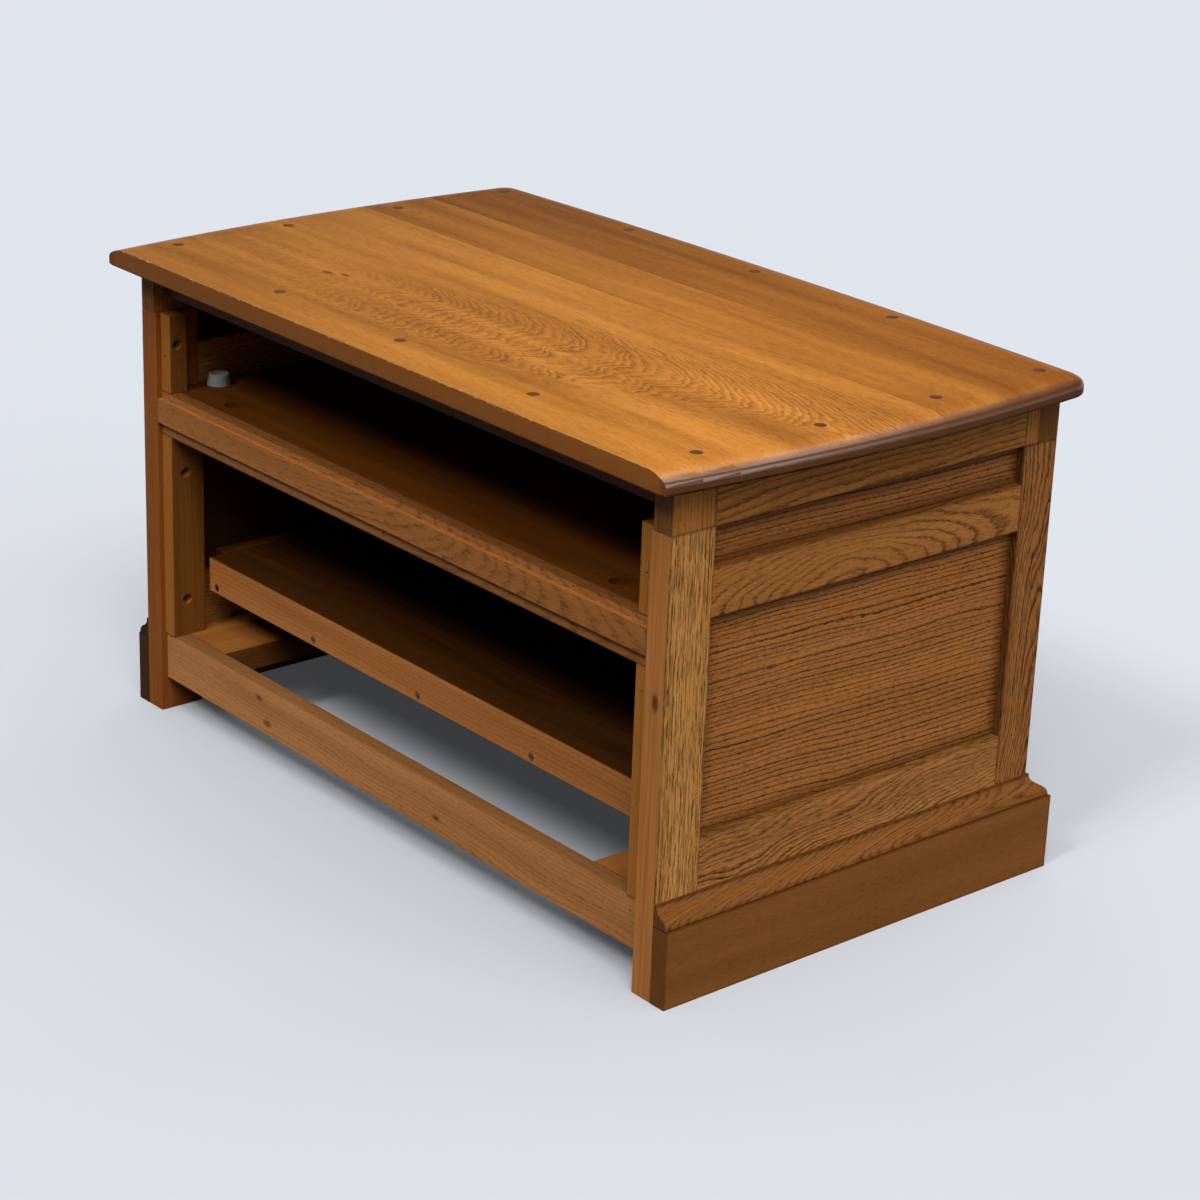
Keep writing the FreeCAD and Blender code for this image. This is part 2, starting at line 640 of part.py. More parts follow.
def make_door(side, sign):
    """Frame-and-panel door with its knob and strike plate."""
    near, far = sign * door_inner_x, sign * door_outer_x
    step = sign * door_stile_width
    panel_y = front_y + door_panel_recess
    panel = block(near + step - sign * groove_depth, far - step + sign * groove_depth, panel_y,
                  panel_y + panel_thickness, door_bottom + door_stile_width - groove_depth,
                  door_top - door_stile_width + groove_depth)
    recesses = Part.makeCompound([
        block(far, far - sign * hinge_plate, front_y - overcut, front_y + hinge_leaf_width,
              z, z + hinge_length)
        for z in door_hinge_heights()])
    knob_x, knob_z = near + step / 2, (door_bottom + door_top) / 2
    rails, tongues = [], []
    for z0 in (door_bottom, door_top - door_stile_width):
        rails.append(board(near + step, far - step, front_y, leaf_back_y, z0, z0 + door_stile_width))
        tongues.append(block(near + step - sign * tenon_length, far - step + sign * tenon_length, panel_y,
                             panel_y + panel_thickness, z0 + tenon_shoulder,
                             z0 + door_stile_width - tenon_shoulder))
    rails = [rail.fuse(tongue).cut(panel) for rail, tongue in zip(rails, tongues)]
    stiles = []
    for x0 in (near, far - step):
        stile = board(x0, x0 + step, front_y, leaf_back_y, door_bottom, door_top)
        stile = stile.cut(panel).cut(Part.makeCompound(tongues)).cut(recesses)
        stile = stile.cut(knob_socket(knob_x, knob_z))
        stiles.append(stile)
    add("door_" + side + "_frame", *(stiles + rails))
    add("door_" + side + "_panel", panel)
    add("door_" + side + "_knob", knob(knob_x, knob_z))
    add("door_" + side + "_strike", strike(sign * door_catch_x, door_top))


def make_flap():
    """Fall flap over the upper compartment, with two knobs and its strike plate."""
    flap = board(-door_outer_x, door_outer_x, front_y, leaf_back_y, flap_bottom, flap_top)
    slope = Part.Face(Part.makePolygon([
        Vector(-outer_x, front_y + ease, flap_top), Vector(-outer_x, leaf_back_y + ease, flap_top),
        Vector(-outer_x, leaf_back_y + ease, flap_top - flap_edge_bevel),
        Vector(-outer_x, front_y + ease, flap_top)]))
    flap = flap.cut(slope.extrude(Vector(carcass_length, 0, 0)))
    knob_z = (flap_bottom + flap_top) / 2
    knobs = []
    for sign in SIDES.values():
        flap = flap.cut(knob_socket(sign * flap_knob_x, knob_z))
        knobs.append(knob(sign * flap_knob_x, knob_z))
    for x in flap_hinge_places():
        flap = flap.cut(block(x, x + hinge_length, front_y - overcut, front_y + hinge_leaf_width,
                              flap_bottom, flap_bottom + hinge_plate))
    add("flap_board", flap)
    add("flap_knobs", *knobs)
    add("flap_strike", strike(0.0, flap_top - flap_edge_bevel))


def strike(x, top):
    """Steel plate on the inner face of a door or flap, just below its upper edge."""
    width, thickness, tall = strike_size
    return block(x - width / 2, x + width / 2, leaf_back_y, leaf_back_y + thickness, top - tall,
                 top - strike_drop)


def make_catches():
    """Magnetic catches behind the rails that the doors and the flap close under."""
    width, depth, tall = catch_size
    start = leaf_back_y + strike_size[1] + catch_gap
    places = [(-door_catch_x, mid_rail_z), (door_catch_x, mid_rail_z), (0.0, frieze_bottom)]
    add("magnetic_catches", *[board(x - width / 2, x + width / 2, start, start + depth, top - tall, top)
                              for x, top in places])


make_top()
make_cross_rails()
for side_name, side_sign in SIDES.items():
    make_end(side_name, side_sign)
make_plinth()
make_cleats()
make_shelf()
make_floor()
make_base()
make_hinges()
for side_name, side_sign in SIDES.items():
    make_door(side_name, side_sign)
make_flap()
make_catches()

os.makedirs("parts", exist_ok=True)
for node, shape in parts.items():
    shape.exportStep("parts/" + node + ".step")
    box = shape.optimalBoundingBox(False, False)
    print("%-26s solids %2d valid %s volume %10.0f  X %.1f..%.1f  Y %.1f..%.1f  Z %.1f..%.1f" % (
        node, len(shape.Solids), shape.isValid(), shape.Volume,
        box.XMin, box.XMax, box.YMin, box.YMax, box.ZMin, box.ZMax))
print(len(parts), "nodes")
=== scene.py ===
"""Low television cabinet in lacquered elm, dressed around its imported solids.

The solids give every board its shape. This script gives each board its own cut of wood, adds the
small turned and pressed pieces that sit on the boards, and sets up a plain studio with the camera.
"""
import logging
import math
from dataclasses import dataclass, replace
from enum import Enum
from typing import Dict, List, Optional, Sequence, Tuple, Union

import bpy
import numpy as np
from mathutils import Matrix, Vector


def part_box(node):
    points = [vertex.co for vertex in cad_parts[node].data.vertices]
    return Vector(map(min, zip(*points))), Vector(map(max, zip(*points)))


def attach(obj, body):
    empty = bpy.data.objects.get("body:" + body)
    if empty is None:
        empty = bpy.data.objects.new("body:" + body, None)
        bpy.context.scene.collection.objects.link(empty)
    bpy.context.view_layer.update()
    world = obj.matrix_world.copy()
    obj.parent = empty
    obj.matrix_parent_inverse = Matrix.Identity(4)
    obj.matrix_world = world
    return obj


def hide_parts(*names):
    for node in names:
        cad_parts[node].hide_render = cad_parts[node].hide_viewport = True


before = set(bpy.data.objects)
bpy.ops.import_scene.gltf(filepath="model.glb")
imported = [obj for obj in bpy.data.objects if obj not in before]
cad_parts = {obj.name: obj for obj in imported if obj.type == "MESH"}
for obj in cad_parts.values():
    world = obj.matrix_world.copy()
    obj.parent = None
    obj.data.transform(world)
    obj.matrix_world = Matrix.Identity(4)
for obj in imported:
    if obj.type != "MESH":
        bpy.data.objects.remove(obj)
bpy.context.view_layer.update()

LOG = logging.getLogger("tv_cabinet")
MM = 0.001
PER_METRE = 1000.0
SIDES: Dict[str, int] = {"left": -1, "right": 1}

MATH = "ShaderNodeMath"
VECTOR = "ShaderNodeVectorMath"
RANGE = "ShaderNodeMapRange"
NOISE = "ShaderNodeTexNoise"
MIX = "ShaderNodeMix"
SPLIT = "ShaderNodeSeparateXYZ"
JOIN = "ShaderNodeCombineXYZ"
MAPPING = "ShaderNodeMapping"
COORDS = "ShaderNodeTexCoord"
BUMP = "ShaderNodeBump"
SHADER = "ShaderNodeBsdfPrincipled"
OUTPUT = "ShaderNodeOutputMaterial"

Pair = Tuple[float, float]
Triple = Tuple[float, float, float]
Socket = bpy.types.NodeSocket
Tree = bpy.types.NodeTree
Link = Union[Socket, float, Sequence[float]]
Surface = Tuple[np.ndarray, np.ndarray]

# How far the next board of a set lies from the last one in their log.
NEXT_ALONG_MM = 137.0
NEXT_ACROSS_MM = 11.0
NEXT_SKEW_DEG = 0.7

# A noise keeps mostly to this span round its middle.
NOISE_SPAN: Pair = (0.3, 0.7)
NOISE_MIDDLE = 0.5
NOISE_GAIN = 4.0

# Patterns of the wood, in millimetres along and across the grain.
RAGGED_MM: Pair = (9.0, 3.0)
STREAK_MM: Pair = (380.0, 26.0)
PLAIN_GRAIN_MM: Pair = (160.0, 4.0)
CHIP_MM: Pair = (9.0, 1.25)
SWAY_SLIMNESS = 3.0

# Glue line between two strips: dark up to the first distance, and gone at the second.
SEAM_MM: Pair = (0.3, 1.3)

# Ring lines: how years differ, where a line sets in, and the fainter lines between.
YEAR_SPREAD = 0.35
YEAR_PUSH = 1.4
WEAK_YEAR = 0.5
LINE_ONSET: Pair = (0.84, 0.95)
FAINT_LINES = 3.0
FAINT_SPAN: Pair = (0.6, 1.0)
FAINT_STRENGTH = 0.35

# Squeezed side of the pith: how its reach slants, and how fast it opens again beyond.
STEEP_SLANT = 0.35
STEEP_ROOM_MM = 42.0
STEEP_OPENING = 2.5

# Pores and lines: the share of pores that keeps to the lines, and what they do to the surface.
PORES_IN_LINES = 0.65
PORE_ROUGHNESS = 0.2
LINE_SINK = 0.4
RELIEF_MM = 0.4

# Knots: width over length, share of the radius that is fully dark, and strength.
KNOT_SLIMNESS = 0.5
KNOT_CORE = 0.25
KNOT_STRENGTH = 0.8

# A shade dims the wood by the first power and deepens its colour by the second.
DIM_POWER = 0.7
DEEPEN_POWER = -0.2

# Faces that meet at more than this angle show a sharp edge.
SHARP_DEG = 35.0

# Directions that pieces face, and the height of an axis past which it counts as upright.
UP: Triple = (0.0, 0.0, 1.0)
SIDEWAYS: Triple = (1.0, 0.0, 0.0)
BACKWARD: Triple = (0.0, 1.0, 0.0)
UPRIGHT_FROM = 0.9

# Grid of a slotted head: rows beside the slot, columns, the last row, and the slot's foot and sides.
HEAD_ROWS = 6
HEAD_COLUMNS = 13
HEAD_LAST_ROW = 0.97
SLOT_FOOT = 0.9
SLOT_SIDE = 0.99


def hex_linear(code: str) -> Tuple[float, float, float, float]:
    """Turn an sRGB hex colour into linear values.

    Args:
        code: six hex digits with a leading hash sign.

    Returns:
        Linear red, green and blue, and an alpha of 1.
    """
    values = [int(code[i:i + 2], 16) / 255 for i in (1, 3, 5)]
    linear = [v / 12.92 if v <= 0.04045 else ((v + 0.055) / 1.055) ** 2.4 for v in values]
    return (linear[0], linear[1], linear[2], 1.0)


def add_node(tree: Tree, kind: str, links: Optional[Dict[Union[str, int], Link]] = None,
             **settings: object) -> Optional[Socket]:
    """Add a node, set its properties, and link or set its inputs.

    Args:
        tree: the node tree that takes the node.
        kind: the node's type name.
        links: input name or number to a socket that feeds it, or to its constant.
        settings: properties of the node itself.

    Returns:
        The node's first output in use, or None where it has none.
    """
    node = tree.nodes.new(kind)
    for key, value in settings.items():
        setattr(node, key, value)
    for key, value in (links or {}).items():
        if isinstance(value, Socket):
            tree.links.new(value, node.inputs[key])
        else:
            node.inputs[key].default_value = value
    return next((socket for socket in node.outputs if socket.enabled), None)


def new_material(name: str) -> Tuple[bpy.types.Material, Tree]:
    """Make a material with an empty node tree.

    Args:
        name: the material's name.

    Returns:
        The material and its tree.
    """
    made = bpy.data.materials.new(name)
    made.use_nodes = True
    made.node_tree.nodes.clear()
    return made, made.node_tree


def grain_noise(tree: Tree, board: Socket, size_mm: Pair, **inputs: float) -> Socket:
    """Noise that is drawn out along the grain.

    Args:
        tree: the material's node tree.
        board: board coordinates in millimetres.
        size_mm: size of a fleck along and across the grain.
        inputs: the noise's own inputs, such as its detail.

    Returns:
        The noise, from 0 to 1.
    """
    length, width = size_mm
    drawn = add_node(tree, VECTOR, {0: board, 1: (1.0 / length, 1.0 / width, 1.0 / width)},
                     operation="MULTIPLY")
    return add_node(tree, NOISE, {"Vector": drawn, "Scale": 1.0, **inputs})


class Cut(Enum):
    """Object axes in the order along the grain, across the face, into the board."""

    FLAT_LENGTHWAYS = (0, 1, 2)
    RAIL_LENGTHWAYS = (0, 2, 1)
    RAIL_FRONT_TO_BACK = (1, 2, 0)
    UPRIGHT_ON_END = (2, 1, 0)
    UPRIGHT_ON_BACK = (2, 0, 1)
    FLAT_FRONT_TO_BACK = (1, 0, 2)


@dataclass(frozen=True)
class LogPlace:
    """Place of a board in its log, in millimetres from the board's middle.

    The pith is a line beside and behind the face. It leans through the face by tilt_deg, turns in the
    face by skew_deg, comes rise_mm nearer over rise_length_mm, which closes the lines into an eye, and
    wanders by sway_mm. The rings are ring_mm apart, curl_mm ripples them, and jag is how ragged a line
    is, as a share of a ring. On the far side of the pith, steep below 1 makes the lines cross the face
    steeply for steep_reach_mm, less towards -X, in a zigzag of zigzag_mm that turns every zigzag_turn_mm.
    """

    along: float = 0.0
    across: float = 0.0
    depth: float = 60.0
    ring_mm: float = 5.0
    tilt_deg: float = 0.0
    skew_deg: float = 0.0
    rise_mm: float = 0.0
    rise_length_mm: float = 70.0
    sway_mm: float = 4.0
    sway_length_mm: float = 220.0
    curl_mm: float = 0.4
    curl_size_mm: Pair = (36.0, 10.0)
    jag: float = 0.3
    steep: float = 1.0
    steep_reach_mm: float = 95.0
    zigzag_mm: float = 3.4
    zigzag_turn_mm: float = 23.0

    def moved(self, step: int) -> "LogPlace":
        """The same cut from further along and beside in the log, for the next board.

        Args:
            step: how many boards further.

        Returns:
            The new place.
        """
        return replace(self, along=self.along + NEXT_ALONG_MM * step,
                       across=self.across + NEXT_ACROSS_MM * step,
                       skew_deg=self.skew_deg - NEXT_SKEW_DEG * step)


@dataclass(frozen=True)
class Strip:
    """Glued strip on the low side of an edge across the face, with its own place, shade and figure."""

    edge_mm: float
    shift_mm: Triple
    shade: float
    figure: float = 1.0
    seam: float = 0.35


@dataclass(frozen=True)
class Knot:
    """Small dark knot: its place along, across and into the board from the middle, and its radius."""

    place_mm: Triple
    radius_mm: float


@dataclass(frozen=True)
class WoodFinish:
    """Lacquered wood whose rings are those of a log: a dark porous line that fades to paler wood.

    The eye gets ring lines that arch where the cut lies flat to the rings and run fine and faint where
    it stands upright to them, short dark pores, slow streaks of shade, and a satin lacquer over them.
    The colours late, early and pore are those of the pale wood, of the lines and of the pores.
    """

    title: str
    late: str
    early: str
    pore: str
    contrast: float = 1.0
    line_width: float = 0.42
    quiet: float = 0.5
    flat_range: Pair = (0.45, 0.9)
    pore_strength: float = 0.6
    pore_size_mm: Pair = (11.0, 1.3)
    pore_range: Pair = (0.5, 0.62)
    streak: float = 0.14
    # Darkening towards the edges and on the narrow faces: partly gathered stain, and partly painted shade
    # on ledges and in recesses.
    edge_stain_and_shade: float = 0.5
    edge_stain_and_shade_mm: float = 3.0
    roughness: float = 0.5
    coat: float = 0.12
    coat_roughness: float = 0.25
    bump: float = 0.2
    strips: Tuple[Strip, ...] = ()
    knots: Tuple[Knot, ...] = ()

    def board_space(self, tree: Tree, cut: Cut, centre: Vector) -> Socket:
        """Millimetres along, across and into the board, from its middle.

        Args:
            tree: the material's node tree.
            cut: the order of the axes.
            centre: the board's middle in metres.

        Returns:
            The vector.
        """
        axes = add_node(tree, SPLIT, {0: add_node(tree, COORDS).node.outputs["Object"]}).node.outputs
        order = cut.value
        turned = add_node(tree, JOIN, {k: axes[order[k]] for k in range(3)})
        middle = [-centre[order[k]] * PER_METRE for k in range(3)]
        return add_node(tree, MAPPING, {
            "Vector": turned, "Location": middle, "Scale": (PER_METRE, PER_METRE, PER_METRE)})

    def glued(self, tree: Tree, board: Socket) -> Tuple[Socket, Link, Link]:
        """Shift each glued strip to its own place in the log, shade it and set its figure.

        Args:
            tree: the material's node tree.
            board: board coordinates in millimetres.

        Returns:
            The shifted coordinates, the shade and the strength of the figure, both as factors.
        """
        shade: Link = 1.0
        figure: Link = 1.0
        across = add_node(tree, SPLIT, {0: board}).node.outputs[1]
        for strip in self.strips:
            below = add_node(tree, MATH, {0: across, 1: strip.edge_mm}, operation="LESS_THAN")
            shift = add_node(tree, VECTOR, {0: strip.shift_mm, "Scale": below}, operation="SCALE")
            board = add_node(tree, VECTOR, {0: board, 1: shift}, operation="ADD")
            away = add_node(tree, MATH, {0: across, 1: strip.edge_mm}, operation="SUBTRACT")
            near = add_node(tree, MATH, {0: away}, operation="ABSOLUTE")
            seam = add_node(tree, RANGE, {
                "Value": near, "From Min": SEAM_MM[0], "From Max": SEAM_MM[1], "To Min": 1.0 - strip.seam})
            tint = add_node(tree, MATH, {0: below, 1: strip.shade - 1.0, 2: 1.0},
                            operation="MULTIPLY_ADD")
            tint = add_node(tree, MATH, {0: tint, 1: seam}, operation="MULTIPLY")
            shade = add_node(tree, MATH, {0: shade, 1: tint}, operation="MULTIPLY")
            drawn = add_node(tree, MATH, {0: below, 1: strip.figure - 1.0, 2: 1.0},
                             operation="MULTIPLY_ADD")
            figure = add_node(tree, MATH, {0: figure, 1: drawn}, operation="MULTIPLY")
        return board, shade, figure

    def pith_space(self, tree: Tree, board: Socket, place: LogPlace) -> Sequence[Socket]:
        """Millimetres along, beside and behind the pith, which wanders and whose rings ripple.

        Args:
            tree: the material's node tree.
            board: board coordinates in millimetres.
            place: where the board lay in its log.

        Returns:
            The three coordinates.
        """
        reach = place.sway_length_mm
        drift = grain_noise(tree, board, (reach, reach / SWAY_SLIMNESS), Roughness=0.45).node.outputs[1]
        drift = add_node(tree, VECTOR, {0: drift, 1: (NOISE_MIDDLE, NOISE_MIDDLE, NOISE_MIDDLE)},
                         operation="SUBTRACT")
        sway = NOISE_GAIN * place.sway_mm
        grown = add_node(tree, VECTOR, {0: drift, 1: (0.0, sway, sway), 2: board},
                         operation="MULTIPLY_ADD")
        wave = grain_noise(tree, board, place.curl_size_mm, Detail=1.0)
        ripple = NOISE_GAIN * place.curl_mm
        wave = add_node(tree, MATH, {0: wave, 1: ripple, 2: -NOISE_MIDDLE * ripple},
                        operation="MULTIPLY_ADD")
        grown = add_node(tree, VECTOR, {0: grown, 1: add_node(tree, JOIN, {2: wave})}, operation="ADD")
        turned = add_node(tree, MAPPING, {
            "Vector": grown, "Location": (-place.along, -place.across, -place.depth),
            "Rotation": (0.0, math.radians(place.tilt_deg), math.radians(place.skew_deg))})
        return add_node(tree, SPLIT, {0: turned}).node.outputs

    def steepened(self, tree: Tree, along: Socket, beside: Socket, behind: Socket,
                  place: LogPlace) -> Tuple[Socket, Socket]:
        """Squeeze the far side of the pith, so that its lines cross the face steeply, in a zigzag.

        Args:
            tree: the material's node tree.
            along: millimetres along the pith.
            beside: millimetres beside it.
            behind: millimetres behind it.
            place: where the board lay in its log.

        Returns:
            The two distances on the squeezed side.
        """
        squeezed = add_node(tree, MATH, {0: beside, 1: place.steep}, operation="MULTIPLY")
        squeezed = add_node(tree, MATH, {0: beside, 1: squeezed}, operation="MINIMUM")
        reach = place.steep_reach_mm
        room = add_node(tree, MATH, {0: along, 1: STEEP_SLANT, 2: reach + STEEP_ROOM_MM},
                        operation="MULTIPLY_ADD")
        room = add_node(tree, MATH, {0: room, 1: reach}, operation="MINIMUM")
        beyond = add_node(tree, MATH, {0: beside, 1: room}, operation="SUBTRACT")
        beyond = add_node(tree, MATH, {0: beyond, 1: STEEP_OPENING}, operation="MULTIPLY")
        turns = add_node(tree, MATH, {0: beside, 1: place.zigzag_turn_mm}, operation="PINGPONG")
        far = add_node(tree, MATH, {0: beside, 1: 0.0}, operation="GREATER_THAN")
        turns = add_node(tree, MATH, {0: turns, 1: far}, operation="MULTIPLY")
        share = place.zigzag_mm / place.zigzag_turn_mm
        return (add_node(tree, MATH, {0: squeezed, 1: beyond}, operation="MAXIMUM"),
                add_node(tree, MATH, {0: turns, 1: share, 2: behind}, operation="MULTIPLY_ADD"))

    def rings(self, tree: Tree, board: Socket, place: LogPlace) -> Socket:
        """Strength of the dark ring lines: the distance from the pith, cut into rings.

        Each ring starts with a dark line that fades, and carries two fainter lines. Years differ in
        strength and width, and lines are quiet where the face stands upright to the rings.

        Args:
            tree: the material's node tree.
            board: board coordinates in millimetres.
            place: where the board lay in its log.

        Returns:
            The strength, from 0 to 1.
        """
        along, beside, behind = self.pith_space(tree, board, place)
        share = add_node(tree, MATH, {0: along, 1: 1.0 / place.rise_length_mm}, operation="MULTIPLY")
        share = add_node(tree, MATH, {0: share, 1: 2.0}, operation="POWER")
        share = add_node(tree, MATH, {0: share, 1: -1.0}, operation="MULTIPLY")
        share = add_node(tree, MATH, {0: share}, operation="EXPONENT")
        rise = add_node(tree, MATH, {0: share, 1: place.rise_mm, 2: -place.rise_mm},
                        operation="MULTIPLY_ADD")
        behind = add_node(tree, MATH, {0: behind, 1: rise}, operation="ADD")
        if place.steep < 1.0:
            beside, behind = self.steepened(tree, along, beside, behind, place)
        spoke = add_node(tree, JOIN, {1: beside, 2: behind})
        radius = add_node(tree, VECTOR, {0: spoke}, operation="LENGTH")
        ragged = grain_noise(tree, board, RAGGED_MM, Roughness=0.6)
        ragged = add_node(tree, MATH, {0: ragged, 1: 2.0 * place.jag, 2: -place.jag},
                          operation="MULTIPLY_ADD")
        year = add_node(tree, NOISE, {"W": radius, "Scale": YEAR_SPREAD / place.ring_mm, "Detail": 1.0},
                        noise_dimensions="1D")
        ragged = add_node(tree, MATH, {0: year, 1: YEAR_PUSH, 2: ragged}, operation="MULTIPLY_ADD")
        count = add_node(tree, MATH, {0: radius, 1: 1.0 / place.ring_mm, 2: ragged},
                         operation="MULTIPLY_ADD")
        step = add_node(tree, MATH, {0: count}, operation="FRACT")
        fade = add_node(tree, RANGE, {
            "Value": step, "From Min": 0.0, "From Max": self.line_width, "To Min": 1.0, "To Max": 0.0},
            interpolation_type="SMOOTHSTEP")
        onset = add_node(tree, RANGE, {
            "Value": step, "From Min": LINE_ONSET[0], "From Max": LINE_ONSET[1]},
            interpolation_type="SMOOTHSTEP")
        line = add_node(tree, MATH, {0: fade, 1: onset}, operation="MAXIMUM")
        third = add_node(tree, MATH, {0: count, 1: FAINT_LINES, 2: ragged}, operation="MULTIPLY_ADD")
        third = add_node(tree, MATH, {0: third}, operation="FRACT")
        faint = add_node(tree, RANGE, {
            "Value": third, "From Min": FAINT_SPAN[0], "From Max": FAINT_SPAN[1],
            "To Max": FAINT_STRENGTH}, interpolation_type="SMOOTHSTEP")
        line = add_node(tree, MATH, {0: line, 1: faint}, operation="MAXIMUM")
        weight = add_node(tree, RANGE, {
            "Value": year, "From Min": NOISE_SPAN[0], "From Max": NOISE_SPAN[1], "To Min": WEAK_YEAR})
        line = add_node(tree, MATH, {0: line, 1: weight}, operation="MULTIPLY")
        flat = add_node(tree, MATH, {0: behind, 1: radius}, operation="DIVIDE")
        flat = add_node(tree, MATH, {0: flat}, operation="ABSOLUTE")
        flat = add_node(tree, RANGE, {
            "Value": flat, "From Min": self.flat_range[0], "From Max": self.flat_range[1],
            "To Min": self.quiet}, interpolation_type="SMOOTHSTEP")
        return add_node(tree, MATH, {0: line, 1: flat}, operation="MULTIPLY")

    def pores(self, tree: Tree, board: Socket, line: Socket) -> Socket:
        """Short dark vessels along the grain, thickest in the ring lines.

        The real vessels are about 0.3 mm wide. They are drawn about four times coarser, so that they
        show from the camera.

        Args:
            tree: the material's node tree.
            board: board coordinates in millimetres.
            line: the strength of the ring lines.

        Returns:
            The strength of the pores, from 0 to 1.
        """
        noise = grain_noise(tree, board, self.pore_size_mm, Roughness=0.55)
        fleck = add_node(tree, RANGE, {"Value": noise, "From Min": self.pore_range[0],
                                       "From Max": self.pore_range[1]}, interpolation_type="SMOOTHSTEP")
        share = add_node(tree, MATH, {0: line, 1: PORES_IN_LINES, 2: 1.0 - PORES_IN_LINES},
                         operation="MULTIPLY_ADD")
        return add_node(tree, MATH, {0: fleck, 1: share}, operation="MULTIPLY")

    def edges(self, tree: Tree, face: Socket, half: Triple, colour: Socket) -> Socket:
        """Darken the wood towards the board's edges and on its narrow sides: partly stain gathered there,
        and partly painted shade on ledges and in recessed borders.

        Args:
            tree: the material's node tree.
            face: board coordinates in millimetres.
            half: half of the board's length, width and thickness in millimetres.
            colour: the grain's colour.

        Returns:
            The colour with darker edges.
        """
        away = add_node(tree, VECTOR, {0: face}, operation="ABSOLUTE")
        away = add_node(tree, VECTOR, {0: half, 1: away}, operation="SUBTRACT")
        parts = add_node(tree, SPLIT, {0: away}).node.outputs
        near = add_node(tree, MATH, {0: parts[0], 1: parts[1]}, operation="MINIMUM")
        # Painted shade and gathered stain: the colour falls towards the edges and is darkest on the narrow
        # faces.
        stain_and_shade = add_node(tree, RANGE, {
            "Value": near, "From Max": self.edge_stain_and_shade_mm, "To Min": 1.0 - self.edge_stain_and_shade},
            interpolation_type="SMOOTHSTEP")
        return add_node(tree, MIX, {0: 1.0, 6: colour, 7: stain_and_shade}, data_type="RGBA", blend_type="MULTIPLY")

    def tone(self, tree: Tree, face: Socket, half: Triple, colour: Socket) -> Socket:
        """Marks of a particular board over its grain: dark knots, twice as long as wide.

        Args:
            tree: the material's node tree.
            face: board coordinates in millimetres.
            half: half of the board's length, width and thickness in millimetres.
            colour: the grain's colour.

        Returns:
            The colour with these marks.
        """
        for knot in self.knots:
            away = add_node(tree, VECTOR, {0: face, 1: knot.place_mm}, operation="SUBTRACT")
            away = add_node(tree, VECTOR, {0: away, 1: (KNOT_SLIMNESS, 1.0, 1.0)}, operation="MULTIPLY")
            away = add_node(tree, VECTOR, {0: away}, operation="LENGTH")
            dark = add_node(tree, RANGE, {
                "Value": away, "From Min": knot.radius_mm * KNOT_CORE, "From Max": knot.radius_mm,
                "To Min": KNOT_STRENGTH, "To Max": 0.0}, interpolation_type="SMOOTHSTEP")
            colour = add_node(tree, MIX, {0: dark, 6: colour, 7: hex_linear(self.pore)},
                              data_type="RGBA")
        return colour

    def colour(self, tree: Tree, board: Socket, shade: Link, line: Socket, pores: Socket) -> Socket:
        """Wood colour from the ring lines, the pores, slow streaks and the strips' shades.

        A shade t multiplies the colour by t to the 0.7 and takes it to the power of t to the -0.2, so
        that darker wood is also a little deeper in colour.

        Args:
            tree: the material's node tree.
            board: board coordinates in millimetres.
            shade: factor of the glued strips.
            line: the strength of the ring lines.
            pores: the strength of the pores.

        Returns:
            The colour.
        """
        band = add_node(tree, MATH, {0: line, 1: self.contrast}, operation="MULTIPLY")
        wood = add_node(tree, MIX, {0: band, 6: hex_linear(self.late), 7: hex_linear(self.early)},
                        data_type="RGBA")
        depth = add_node(tree, MATH, {0: pores, 1: self.pore_strength}, operation="MULTIPLY")
        wood = add_node(tree, MIX, {0: depth, 6: wood, 7: hex_linear(self.pore)}, data_type="RGBA")
        slow = grain_noise(tree, board, STREAK_MM, Detail=3.0)
        tint = add_node(tree, RANGE, {"Value": slow, "From Min": NOISE_SPAN[0], "From Max": NOISE_SPAN[1],
                                      "To Min": 1.0 - self.streak, "To Max": 1.0 + self.streak})
        tint = add_node(tree, MATH, {0: tint, 1: shade}, operation="MULTIPLY")
        dim = add_node(tree, MATH, {0: tint, 1: DIM_POWER}, operation="POWER")
        wood = add_node(tree, MIX, {0: 1.0, 6: wood, 7: dim}, data_type="RGBA", blend_type="MULTIPLY")
        deep = add_node(tree, MATH, {0: tint, 1: DEEPEN_POWER}, operation="POWER")
        return add_node(tree, "ShaderNodeGamma", {"Color": wood, "Gamma": deep})

    def lacquer(self, tree: Tree) -> Link:
        """Weight of the lacquer, the same all over."""
        return self.coat

